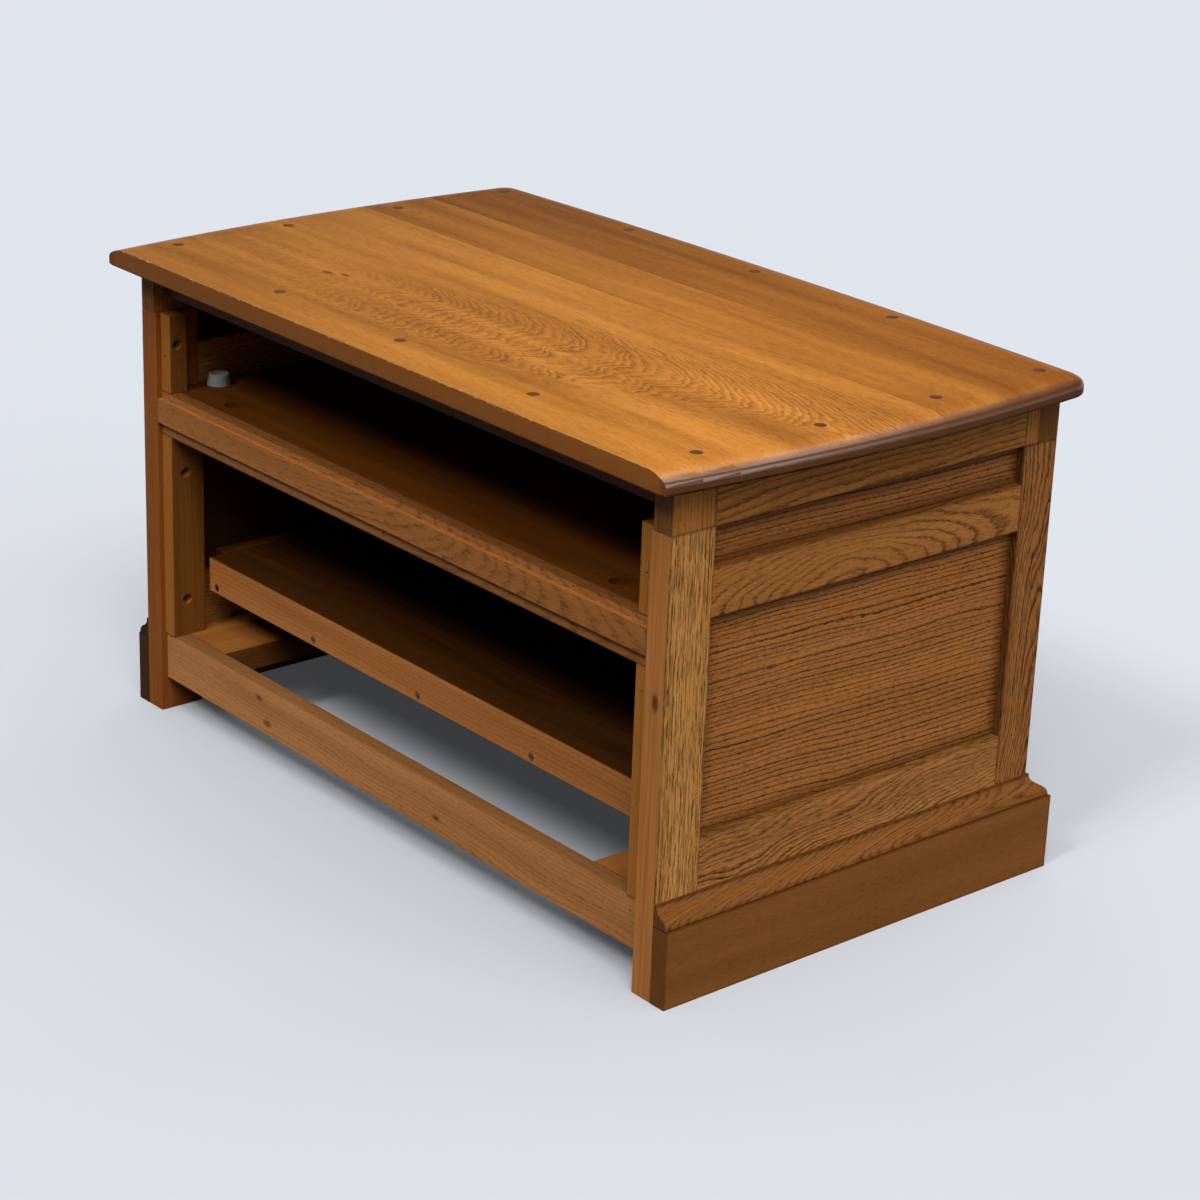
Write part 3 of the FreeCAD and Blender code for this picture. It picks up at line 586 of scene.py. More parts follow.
    def material(self, name: str, cut: Cut, place: LogPlace, low: Vector,
                 high: Vector) -> bpy.types.Material:
        """Build the wood of one board.

        Args:
            name: the material's name.
            cut: the order of the axes on this board.
            place: where the board lay in its log.
            low: low corner of the board's box in metres.
            high: high corner of the board's box in metres.

        Returns:
            The material.
        """
        made, tree = new_material(name)
        face = self.board_space(tree, cut, (low + high) / 2)
        half = tuple((high[axis] - low[axis]) / 2 * PER_METRE for axis in cut.value)
        board, shade, figure = self.glued(tree, face)
        line = self.rings(tree, board, place)
        line = add_node(tree, MATH, {0: line, 1: figure}, operation="MULTIPLY")
        pores = self.pores(tree, board, line)
        wood = self.edges(tree, face, half, self.colour(tree, board, shade, line, pores))
        wood = self.tone(tree, face, half, wood)
        rough = add_node(tree, RANGE, {"Value": pores, "To Min": self.roughness,
                                       "To Max": self.roughness + PORE_ROUGHNESS})
        sunk = add_node(tree, MATH, {0: line, 1: -LINE_SINK, 2: 1.0}, operation="MULTIPLY_ADD")
        sunk = add_node(tree, MATH, {0: sunk, 1: pores}, operation="SUBTRACT")
        relief = add_node(tree, BUMP, {"Strength": self.bump, "Distance": RELIEF_MM * MM, "Height": sunk})
        shader = add_node(tree, SHADER, {
            "Base Color": wood, "Roughness": rough, "Normal": relief, "Specular IOR Level": 0.0,
            "Coat Weight": self.lacquer(tree), "Coat Roughness": self.coat_roughness})
        add_node(tree, OUTPUT, {0: shader})
        return made


@dataclass(frozen=True)
class TopFinish(WoodFinish):
    """Wood of the top: darker round its moulded edge, with pale chips along the sharp rear edge."""

    rim: str = "#5c3419"
    rear: str = "#7d430f"
    chip: str = "#e0c49a"
    end_radius_mm: float = 2345.0
    rim_width_mm: float = 12.0
    rim_core: float = 0.25
    rim_strength: float = 0.94
    rear_mm: Pair = (0.8, 0.3)
    rear_strength: float = 0.75
    arris_mm: Pair = (1.8, 0.6)
    arris_height_mm: Pair = (2.0, 0.8)
    chip_range: Pair = (0.56, 0.68)
    # Painted light falloff along the top: paler at the near end, darker at the far end.
    fade: Pair = (1.21, 0.68)
    calm_mm: Pair = (20.0, 260.0)
    calm_strength: float = 0.35
    round_up: Pair = (-0.1, 0.35)
    flat_up: Pair = (0.8, 0.98)
    upright_coat: float = 0.06
    round_coat: float = 1.0

    def rings(self, tree: Tree, board: Socket, place: LogPlace) -> Socket:
        """Ring lines as on any board, fainter towards the far end of the top.

        Args:
            tree: the material's node tree.
            board: board coordinates in millimetres.
            place: where the board lay in its log.

        Returns:
            The strength, from 0 to 1.
        """
        line = super().rings(tree, board, place)
        along = add_node(tree, SPLIT, {0: board}).node.outputs[0]
        calm = add_node(tree, RANGE, {
            "Value": along, "From Min": self.calm_mm[0], "From Max": self.calm_mm[1],
            "To Min": 1.0, "To Max": self.calm_strength}, interpolation_type="SMOOTHSTEP")
        return add_node(tree, MATH, {0: line, 1: calm}, operation="MULTIPLY")

    def lacquer(self, tree: Tree) -> Link:
        """Weight of the lacquer: thin on upright faces, thickest on the round edge, less on the flat.

        Args:
            tree: the material's node tree.

        Returns:
            The weight, from the height of the surface's own direction.
        """
        facing = add_node(tree, COORDS).node.outputs["Normal"]
        up = add_node(tree, SPLIT, {0: facing}).node.outputs[2]
        flat = add_node(tree, RANGE, {
            "Value": up, "From Min": self.flat_up[0], "From Max": self.flat_up[1],
            "To Min": self.round_coat, "To Max": self.coat}, interpolation_type="SMOOTHSTEP")
        return add_node(tree, RANGE, {
            "Value": up, "From Min": self.round_up[0], "From Max": self.round_up[1],
            "To Min": self.upright_coat, "To Max": flat}, interpolation_type="SMOOTHSTEP")

    def tone(self, tree: Tree, face: Socket, half: Triple, colour: Socket) -> Socket:
        """Knots, a painted light falloff along the board that is paler at the near end and darker at the
        far end, stain on the moulded ends, and wear on the rear arris.

        Args:
            tree: the material's node tree.
            face: board coordinates in millimetres.
            half: half of the board's length, width and thickness in millimetres.
            colour: the grain's colour.

        Returns:
            The colour with these marks.
        """
        colour = super().tone(tree, face, half, colour)
        along, across, up = add_node(tree, SPLIT, {0: face}).node.outputs
        # Painted light falloff: the colour is multiplied from the near end's factor down to the far end's.
        fade = add_node(tree, RANGE, {"Value": along, "From Min": -half[0], "From Max": half[0],
                                      "To Min": self.fade[0], "To Max": self.fade[1]})
        colour = add_node(tree, MIX, {0: 1.0, 6: colour, 7: fade}, data_type="RGBA",
                          blend_type="MULTIPLY")
        square = add_node(tree, MATH, {0: across, 1: across}, operation="MULTIPLY")
        length = add_node(tree, MATH, {0: along}, operation="ABSOLUTE")
        reach = add_node(tree, MATH, {0: square, 1: 0.5 / self.end_radius_mm, 2: length},
                         operation="MULTIPLY_ADD")
        edge = add_node(tree, RANGE, {
            "Value": reach, "From Min": half[0] - self.rim_width_mm,
            "From Max": half[0] - self.rim_width_mm * self.rim_core, "To Max": self.rim_strength},
            interpolation_type="SMOOTHSTEP")
        stained = add_node(tree, MIX, {0: edge, 6: colour, 7: hex_linear(self.rim)}, data_type="RGBA")
        back = add_node(tree, RANGE, {
            "Value": across, "From Min": half[1] - self.rear_mm[0], "From Max": half[1] - self.rear_mm[1],
            "To Max": self.rear_strength})
        stained = add_node(tree, MIX, {0: back, 6: stained, 7: hex_linear(self.rear)}, data_type="RGBA")
        rear = add_node(tree, RANGE, {
            "Value": across, "From Min": half[1] - self.arris_mm[0],
            "From Max": half[1] - self.arris_mm[1]})
        upper = add_node(tree, RANGE, {
            "Value": up, "From Min": half[2] - self.arris_height_mm[0],
            "From Max": half[2] - self.arris_height_mm[1]})
        arris = add_node(tree, MATH, {0: rear, 1: upper}, operation="MULTIPLY")
        knocks = grain_noise(tree, face, CHIP_MM, Detail=3.0, Roughness=0.7)
        chips = add_node(tree, RANGE, {
            "Value": knocks, "From Min": self.chip_range[0], "From Max": self.chip_range[1]})
        worn = add_node(tree, MATH, {0: arris, 1: chips}, operation="MULTIPLY")
        return add_node(tree, MIX, {0: worn, 6: stained, 7: hex_linear(self.chip)}, data_type="RGBA")


@dataclass(frozen=True)
class OneFaceFinish(WoodFinish):
    """Wood that is figured on its outer face, and plain on the others."""

    plain: str = "#ca8343"
    plain_line: str = "#8a5122"
    plain_range: Pair = (0.35, 0.75)
    plain_strength: float = 0.6
    skin_mm: Pair = (1.2, 0.3)
    outward: float = -1.0

    def tone(self, tree: Tree, face: Socket, half: Triple, colour: Socket) -> Socket:
        """Quiet straight grain on all the faces but the outer one.

        Args:
            tree: the material's node tree.
            face: board coordinates in millimetres.
            half: half of the board's length, width and thickness in millimetres.
            colour: the grain's colour.

        Returns:
            The colour with plain inner faces.
        """
        depth = add_node(tree, SPLIT, {0: face}).node.outputs[2]
        depth = add_node(tree, MATH, {0: depth, 1: self.outward}, operation="MULTIPLY")
        outer = add_node(tree, RANGE, {
            "Value": depth, "From Min": half[2] - self.skin_mm[0], "From Max": half[2] - self.skin_mm[1]})
        grain = grain_noise(tree, face, PLAIN_GRAIN_MM, Detail=4.0)
        grain = add_node(tree, RANGE, {
            "Value": grain, "From Min": self.plain_range[0], "From Max": self.plain_range[1],
            "To Max": self.plain_strength})
        plain = add_node(tree, MIX, {
            0: grain, 6: hex_linear(self.plain), 7: hex_linear(self.plain_line)}, data_type="RGBA")
        plain = super().tone(tree, face, half, plain)
        return add_node(tree, MIX, {0: outer, 6: plain, 7: colour}, data_type="RGBA")


@dataclass(frozen=True)
class FramedFinish(WoodFinish):
    """Wood of a door frame in one node: upright stiles outside, level rails between them."""

    half_opening_mm: float = 168.1

    def board_space(self, tree: Tree, cut: Cut, centre: Vector) -> Socket:
        """Upright coordinates on the stiles, and level ones on the rails between them.

        Args:
            tree: the material's node tree.
            cut: not used, because the frame has both cuts.
            centre: the frame's middle in metres.

        Returns:
            The vector.
        """
        upright = super().board_space(tree, Cut.UPRIGHT_ON_BACK, centre)
        level = super().board_space(tree, Cut.RAIL_LENGTHWAYS, centre)
        out = add_node(tree, MATH, {0: add_node(tree, SPLIT, {0: level})}, operation="ABSOLUTE")
        between = add_node(tree, MATH, {0: out, 1: self.half_opening_mm}, operation="LESS_THAN")
        return add_node(tree, MIX, {0: between, 4: upright, 5: level}, data_type="VECTOR")


@dataclass(frozen=True)
class MetalFinish:
    """Plain metal with fine drawn scratches: a soft streaked gloss."""

    title: str
    colour: str
    roughness: float
    roughness_spread: Pair = (-0.08, 0.12)
    scratch_mm: float = 0.6
    scratch_slimness: float = 12.0
    bump: float = 0.1
    relief_mm: float = 0.05

    def material(self) -> bpy.types.Material:
        """Build the metal.

        Returns:
            The material.
        """
        made, tree = new_material(self.title)
        fine, long = PER_METRE / self.scratch_mm, PER_METRE / (self.scratch_slimness * self.scratch_mm)
        drawn = add_node(tree, MAPPING, {
            "Vector": add_node(tree, COORDS).node.outputs["Object"], "Scale": (fine, long, long)})
        noise = add_node(tree, NOISE, {"Vector": drawn, "Scale": 1.0})
        least, most = (self.roughness + spread for spread in self.roughness_spread)
        rough = add_node(tree, RANGE, {"Value": noise, "From Min": NOISE_SPAN[0], "From Max": NOISE_SPAN[1],
                                       "To Min": least, "To Max": most})
        relief = add_node(tree, BUMP, {
            "Strength": self.bump, "Distance": self.relief_mm * MM, "Height": noise})
        shader = add_node(tree, SHADER, {
            "Base Color": hex_linear(self.colour), "Metallic": 1.0, "Roughness": rough, "Normal": relief})
        add_node(tree, OUTPUT, {0: shader})
        return made


@dataclass(frozen=True)
class MouldedFinish:
    """Moulded rubber or plastic: an even colour with a fine dusty mottle and a dull sheen."""

    title: str
    colour: str
    dust: str
    roughness: float
    grit_mm: float = 6.0
    dust_range: Pair = (0.45, 0.75)
    dust_strength: float = 0.6
    bump: float = 0.2
    relief_mm: float = 0.1

    def material(self) -> bpy.types.Material:
        """Build the moulded material.

        Returns:
            The material.
        """
        made, tree = new_material(self.title)
        noise = add_node(tree, NOISE, {
            "Vector": add_node(tree, COORDS).node.outputs["Object"], "Scale": PER_METRE / self.grit_mm,
            "Detail": 4.0, "Roughness": 0.6})
        fleck = add_node(tree, RANGE, {
            "Value": noise, "From Min": self.dust_range[0], "From Max": self.dust_range[1],
            "To Max": self.dust_strength})
        colour = add_node(tree, MIX, {0: fleck, 6: hex_linear(self.colour), 7: hex_linear(self.dust)},
                          data_type="RGBA")
        relief = add_node(tree, BUMP, {
            "Strength": self.bump, "Distance": self.relief_mm * MM, "Height": noise})
        shader = add_node(tree, SHADER, {
            "Base Color": colour, "Roughness": self.roughness, "Normal": relief})
        add_node(tree, OUTPUT, {0: shader})
        return made


# Sanded elm under satin lacquer: warm orange-brown strips, an arched figure, and a dark moulded rim.
ELM_TOP = TopFinish(
    "elm_top", "#c98133", "#a2642a", "#6b3c12", line_width=0.75, quiet=0.15, flat_range=(0.62, 0.9),
    pore_strength=0.7, streak=0.24, edge_stain_and_shade=0.12, edge_stain_and_shade_mm=150.0, coat=0.3, coat_roughness=0.26,
    strips=(Strip(edge_mm=-54.0, shift_mm=(300.0, 420.0, 30.0), shade=0.78),
            Strip(edge_mm=-147.0, shift_mm=(-500.0, 160.0, 60.0), shade=0.76, seam=0.2)),
    knots=(Knot((250.0, 150.0, 11.0), 6.0), Knot((232.0, 140.0, 11.0), 5.0)))

# Planed elm of the frames: dark ring lines on mid-brown wood, darker along the edges and on the narrow
# faces, partly gathered stain and partly painted shade on the ledges.
ELM_FRAME = WoodFinish("elm_frame", "#bd7b3c", "#4f2c10", "#3f240d")

# Middle rails, cut through a bend in the log: thin lines that sweep round an eye.
ELM_MID = replace(ELM_FRAME, contrast=0.75, line_width=0.28, pore_strength=0.85)

# Bottom rails: paler, with broad soft lines and many open pores.
ELM_BOTTOM = replace(ELM_FRAME, late="#c38344", pore_strength=0.9, pore_range=(0.46, 0.6),
                     line_width=0.5)

# Rail across the back: the lines are faint under its stain, so that it looks plain beside the ends.
ELM_RAIL = replace(ELM_FRAME, late="#b07037", contrast=0.35)

# Straight-grained elm of the front stiles: close upright lines and long pores.
ELM_STRAIGHT = replace(ELM_FRAME, late="#b5753a", line_width=0.5, pore_strength=0.9,
                       pore_size_mm=(14.0, 1.6), pore_range=(0.46, 0.6))

# Elm of the frieze: a little warmer than the frames, with softer lines.
ELM_FRIEZE = WoodFinish("elm_frieze", "#be7a36", "#4a2a10", "#38200c", contrast=0.8)

# Rear stile: straw-coloured elm with long dark flecks on the end, and plain stained wood inside.
ELM_STILE = OneFaceFinish("elm_stile", "#dc9c54", "#8a5724", "#40240a", contrast=0.8, pore_strength=1.0,
                          pore_size_mm=(22.0, 2.1), pore_range=(0.45, 0.56), quiet=0.8, edge_stain_and_shade=0.4,
                          knots=(Knot((72.0, 27.0, -2.0), 7.0),))

# Far rear stile: the same outside, and darker wood on its other faces.
ELM_STILE_FAR = replace(ELM_STILE, plain="#9f5a22", plain_line="#7a4014", outward=1.0, knots=())

# Panels of the front: strong arched lines, and a darker border, partly gathered stain and partly painted
# shade in the frame's recess.
ELM_PANEL = WoodFinish("elm_panel", "#c07b3d", "#42240e", "#3a200d", line_width=0.36, quiet=1.0,
                       pore_strength=0.9, pore_size_mm=(5.5, 1.6), edge_stain_and_shade=0.75, edge_stain_and_shade_mm=30.0)

# Panels of the ends: level lines of short pores outside, a darker border as on the front panels, and
# near-black inner faces as painted shade of the inside.
ELM_END_PANEL = OneFaceFinish(
    "elm_end_panel", ELM_PANEL.late, ELM_PANEL.early, ELM_PANEL.pore, line_width=0.26, quiet=1.0,
    pore_strength=0.9, pore_size_mm=(5.5, 1.5), edge_stain_and_shade=0.75, edge_stain_and_shade_mm=30.0, plain="#4c2c14",
    plain_line="#38200d")
ELM_END_PANEL_FAR = replace(ELM_END_PANEL, outward=1.0)

# Plinth: dull brown elm, almost plain below its glue line and clearly lined on the moulding.
ELM_PLINTH = WoodFinish(
    "elm_plinth", "#8f5a28", "#55300f", "#3d230c", contrast=0.8, pore_strength=0.6, edge_stain_and_shade=0.35,
    coat=0.12, coat_roughness=0.3,
    strips=(Strip(edge_mm=30.5, shift_mm=(900.0, 300.0, 40.0), shade=1.0, figure=0.12, seam=0.6),))

# Far plinth board: much darker towards its edges and nearly black on its cut ends.
ELM_PLINTH_FAR = replace(ELM_PLINTH, edge_stain_and_shade=0.78)

# Stained beech: close, even wood with short fine flecks and hardly any gloss, its narrow faces such as the
# rails' tops darkened to half, partly stain and partly painted shade.
BEECH = WoodFinish("stained_beech", "#c07c42", "#955521", "#754415", contrast=0.6, pore_strength=0.5,
                   pore_size_mm=(5.0, 1.1), streak=0.18, edge_stain_and_shade=0.5, edge_stain_and_shade_mm=1.6, coat=0.08)

# Low rear rail: paler beech with a few small knots.
BEECH_BASE = replace(BEECH, late="#c78850", early="#a0602c", knots=(
    Knot((233.0, 12.0, 9.0), 5.0), Knot((217.0, -14.0, 9.0), 6.0), Knot((-95.0, -10.0, 9.0), 5.0)))

# Rail of the floor: stained beech on its rear face, and nearly black on the others as painted shade of the
# inside.
BEECH_RAIL = OneFaceFinish("stained_beech", BEECH.late, BEECH.early, BEECH.pore, contrast=0.6,
                           pore_strength=0.5, pore_size_mm=(5.0, 1.1), streak=0.18, edge_stain_and_shade=0.5,
                           edge_stain_and_shade_mm=1.6, coat=0.08, plain="#4c2a0d", plain_line="#3a1f08", outward=1.0)

# Cleats and side boards: the same beech, a shade and two shades deeper.
BEECH_CLEAT = replace(BEECH, late="#b4722f", early="#8a5119")
BEECH_SIDE = replace(BEECH, late="#a0642d", early="#7d4a1a")

# Boards inside: darkened to near black as painted shade of the closed carcass, leaving only a hint of the
# grain.
BEECH_SHELF = replace(BEECH, title="shade_darkened_beech", late="#653710", early="#4a2709", pore="#341c07",
                      edge_stain_and_shade=0.2, coat=0.1)
BEECH_FLOOR = replace(BEECH_SHELF, late="#4c2a0d", early="#3a1f08", pore="#2c1706")

# Sawn end grain of the plugs: grey-brown dots that are duller than the top round them.
END_GRAIN = WoodFinish("plug_end_grain", "#6b4a2f", "#4a2f1a", "#33200f", contrast=0.7, pore_strength=0.5,
                       pore_size_mm=(1.2, 1.2), edge_stain_and_shade=0.0)

# Door frames: the wood of the frames, with upright grain on the stiles and level grain on the rails.
ELM_DOOR = FramedFinish("elm_door_frame", "#bd7b3c", "#4f2c10", "#3f240d", edge_stain_and_shade=0.0)

# Drawn and polished brass: a warm bright gloss with fine streaks.
BRASS = MetalFinish("polished_brass", "#c89d55", roughness=0.28)

# Plated steel: a pale, slightly cloudy grey gloss.
ZINC_STEEL = MetalFinish("zinc_plated_steel", "#a8a8a4", roughness=0.38)

# Old bare steel: dull and brownish, with only a faint shine.
DARK_STEEL = MetalFinish("tarnished_steel", "#5a564f", roughness=0.5)

# Moulded rubber: matt grey with a bloom of paler dust.
GREY_RUBBER = MouldedFinish("grey_rubber", "#8b8f8d", dust="#a6a9a6", roughness=0.6)

# Moulded plastic: dark brown with a soft even sheen.
BROWN_PLASTIC = MouldedFinish("moulded_brown_plastic", "#3b2817", dust="#4d3824", roughness=0.45)


def cover(node: str, made: bpy.types.Material) -> None:
    """Put a material on every slot of a solid's object.

    Args:
        node: the solid's name.
        made: the material.
    """
    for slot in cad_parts[node].material_slots:
        slot.material = made
    LOG.info("dressed %s with %s", node, made.name)


@dataclass(frozen=True)
class Board:
    """One board node with its finish, its cut and its place in the log."""

    node: str
    finish: WoodFinish
    cut: Cut
    place: LogPlace

    def dress(self) -> None:
        """Give the board's object its own wood."""
        low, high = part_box(self.node)
        name = self.finish.title + "_" + self.node
        cover(self.node, self.finish.material(name, self.cut, self.place, low, high))


def grid_faces(rows: int, columns: int) -> np.ndarray:
    """Triangles of an open grid, facing up where rows run along +Y and columns along +X.

    Args:
        rows: rows of vertices.
        columns: vertices in a row.

    Returns:
        Corners of the triangles.
    """
    row, column = np.meshgrid(np.arange(rows - 1), np.arange(columns - 1), indexing="ij")
    a = (row * columns + column).ravel()
    return np.concatenate([np.stack([a, a + 1, a + columns + 1], axis=1),
                           np.stack([a, a + columns + 1, a + columns], axis=1)])


def closed_slab(upper: np.ndarray, lower: np.ndarray) -> Surface:
    """Closed shell between two grids of the same shape, joined round their border.

    Args:
        upper: upper surface, rows by columns by 3.
        lower: lower surface, in the same order.

    Returns:
        Vertices and triangles.
    """
    rows, columns = upper.shape[:2]
    index = np.arange(rows * columns).reshape(rows, columns)
    rim = np.concatenate([index[0, :-1], index[:-1, -1], index[-1, :0:-1], index[:0:-1, 0]])
    ahead = np.roll(rim, -1)
    below = rows * columns
    faces = grid_faces(rows, columns)
    wall = np.concatenate([np.stack([rim, rim + below, ahead + below], axis=1),
                           np.stack([rim, ahead + below, ahead], axis=1)])
    verts = np.concatenate([upper.reshape(-1, 3), lower.reshape(-1, 3)])
    return verts, np.concatenate([faces, faces[:, ::-1] + below, wall])


def lathe(profile: np.ndarray, segments: int) -> Surface:
    """Surface turned about Z: each point (r, h) of the profile goes round to (r cos t, r sin t, h).

    Args:
        profile: points (radius, height) from the axis at the foot to the axis at the crown.
        segments: steps round the axis.

    Returns:
        Vertices and triangles, closed at both poles.
    """
    turn = np.linspace(0.0, 2.0 * np.pi, segments, endpoint=False)
    radius, height = profile[1:-1, :1], profile[1:-1, 1:]
    rings = np.stack([radius * np.cos(turn), radius * np.sin(turn), height + 0.0 * turn], axis=-1)
    poles = np.array([[0.0, 0.0, profile[0, 1]], [0.0, 0.0, profile[-1, 1]]])
    rows = len(profile) - 2
    row, step = np.meshgrid(np.arange(rows - 1), np.arange(segments), indexing="ij")
    a, b = (row * segments + step).ravel(), (row * segments + (step + 1) % segments).ravel()
    first = np.arange(segments)
    after = (first + 1) % segments
    last, foot = (rows - 1) * segments, np.full(segments, rows * segments)
    faces = np.concatenate([
        np.stack([a, b, b + segments], axis=1), np.stack([a, b + segments, a + segments], axis=1),
        np.stack([foot, after, first], axis=1), np.stack([foot + 1, last + first, last + after], axis=1)])
    return np.concatenate([rings.reshape(-1, 3), poles]), faces


def slotted_head(radius: float, proud: float, sunk: float, slot_width: float,
                 slot_depth: float) -> Surface:
    """Screw head with a straight slot, its face at height 0.

    The disc is laid out in chords, y = r v and x = r u sqrt(1 - v v), so that the slot's sides are
    straight rows. Its height is proud (1 - u u)(1 - v v), less the slot's depth between those rows.

    Args:
        radius: radius of the head.
        proud: rise of the dome over the face.
        sunk: depth of the head below the face.
        slot_width: width of the slot.
        slot_depth: depth of the slot.

    Returns:
        Vertices and triangles.
    """
    half = slot_width / 2 / radius
    side = np.linspace(half, HEAD_LAST_ROW, HEAD_ROWS)
    chord = np.concatenate([-side[::-1], [-half * SLOT_FOOT, half * SLOT_FOOT], side])
    v, u = np.meshgrid(chord, np.linspace(-1.0, 1.0, HEAD_COLUMNS), indexing="ij")
    dome = proud * (1.0 - u * u) * (1.0 - v * v)
    height = np.where(np.abs(v) < half * SLOT_SIDE, dome - slot_depth, dome)
    flat = np.stack([radius * u * np.sqrt(1.0 - v * v), radius * v, 0.0 * u], axis=-1)
    upper, lower = flat.copy(), flat.copy()
    upper[..., 2] = height
    lower[..., 2] = -sunk
    return closed_slab(upper, lower)


def copies(shape: Surface, places: np.ndarray, axes: Union[Triple, np.ndarray]) -> Surface:
    """Repeat a shape at several places, turned so that its Z lies along each axis.

    Args:
        shape: vertices and triangles of one shape.
        places: one place per copy.
        axes: one unit axis for all the copies, or one per copy.

    Returns:
        Vertices and triangles of all the copies.
    """
    verts, faces = shape
    axes = np.broadcast_to(axes, places.shape)
    helper = np.where(np.abs(axes[:, 2:]) > UPRIGHT_FROM, [SIDEWAYS], [UP])
    side = np.cross(helper, axes)
    side /= np.linalg.norm(side, axis=1, keepdims=True)
    basis = np.stack([side, np.cross(axes, side), axes], axis=1)
    every = np.einsum("vk,ckj->cvj", verts, basis) + places[:, None, :]
    index = faces[None] + (np.arange(len(places)) * len(verts))[:, None, None]
    return every.reshape(-1, 3), index.reshape(-1, 3)


def piece(name: str, shape: Surface, made: bpy.types.Material, body: str,
          stands_for: Sequence[str] = ()) -> None:
    """Make a smooth piece from a surface in millimetres and let it ride on a body.

    Args:
        name: the piece's name.
        shape: vertices in millimetres, in the cabinet's frame, and triangles.
        made: its material.
        body: the body it moves with.
        stands_for: solids that the piece replaces.
    """
    verts, faces = shape
    mesh = bpy.data.meshes.new(name)
    mesh.from_pydata((verts * MM).tolist(), [], faces.tolist())
    mesh.polygons.foreach_set("use_smooth", np.ones(len(mesh.polygons), dtype=bool))
    mesh.materials.append(made)
    mesh.set_sharp_from_angle(angle=math.radians(SHARP_DEG))
    mesh.update()
    shown = bpy.data.objects.new(name, mesh)
    bpy.context.scene.collection.objects.link(shown)
    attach(shown, body)
    if stands_for:
        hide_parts(*stands_for)
    LOG.info("made %s on %s, %d triangles", name, body, len(faces))


class SubAssembly:
    """Part of the cabinet that dresses its boards and builds its small pieces."""

    def boards(self) -> List[Board]:
        """The boards of this part; none unless a part lists them."""
        return []

    def build(self) -> None:
        """Make the pieces that the solids don't have; none unless a part makes them."""

    def run(self) -> None:
        """Dress the boards, then build the pieces."""
        for each in self.boards():
            each.dress()
        self.build()


@dataclass
class Top(SubAssembly):
    """Top board with the plugs over its screws."""

    plug_radius_mm: float = 6.1
    plug_depth_mm: float = 7.9
    plug_round_mm: float = 0.8
    plug_round_steps: int = 6
    plug_crown_mm: Pair = (0.05, 0.08)
    plug_crown_share: float = 0.4
    plug_segments: int = 28
    plug_sunk_mm: float = 0.15
    corner_x: float = 435.0
    side_x: float = 440.0
    inner_x: float = 215.0
    corner_y: Pair = (222.5, -238.0)
    side_y: Pair = (71.0, -84.5)
    row_y: Pair = (237.0, -249.5)

    def boards(self) -> List[Board]:
        """The top board, glued from a figured rear strip and straighter front strips.

        Returns:
            The board.
        """
        return [Board("top_board", ELM_TOP, Cut.FLAT_LENGTHWAYS,
                      LogPlace(across=112.0, depth=-60.0, ring_mm=2.4, tilt_deg=10.0, skew_deg=-2.8,
                               sway_mm=2.4, sway_length_mm=200.0, curl_mm=1.0, curl_size_mm=(40.0, 14.0),
                               jag=0.35, steep=0.2, zigzag_mm=2.6))]

    def plug_places(self) -> np.ndarray:
        """Places of the plugs' faces: corners, sides, and three in a row at the rear and the front.

        Returns:
            One row per plug, in millimetres.
        """
        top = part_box("top_plugs")[1].z * PER_METRE - self.plug_sunk_mm
        plan = [(sign * self.corner_x, y) for sign in SIDES.values() for y in self.corner_y]
        plan += [(sign * self.side_x, y) for sign in SIDES.values() for y in self.side_y]
        plan += [(x, y) for x in (-self.inner_x, 0.0, self.inner_x) for y in self.row_y]
        return np.array([(x, y, top) for x, y in plan])

    def build(self) -> None:
        """Plugs with an eased rim, a little below the top, so that each shows its edge."""
        r, ease = self.plug_radius_mm, self.plug_round_mm
        arc = np.linspace(0.0, np.pi / 2, self.plug_round_steps)
        rim = np.stack([r - ease + ease * np.cos(arc), ease * (np.sin(arc) - 1.0)], axis=1)
        shoulder, crown = self.plug_crown_mm
        profile = np.concatenate([[[0.0, -self.plug_depth_mm], [r, -self.plug_depth_mm]], rim,
                                  [[r * self.plug_crown_share, shoulder], [0.0, crown]]])
        wood = END_GRAIN.material("plug_end_grain", Cut.UPRIGHT_ON_END, LogPlace(depth=30.0, ring_mm=1.6),
                                  *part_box("top_plugs"))
        turned = lathe(profile, self.plug_segments)
        piece("eased_plugs", copies(turned, self.plug_places(), UP), wood, "carcass",
              ("top_plugs",))
        cover("top_screws", ZINC_STEEL.material())


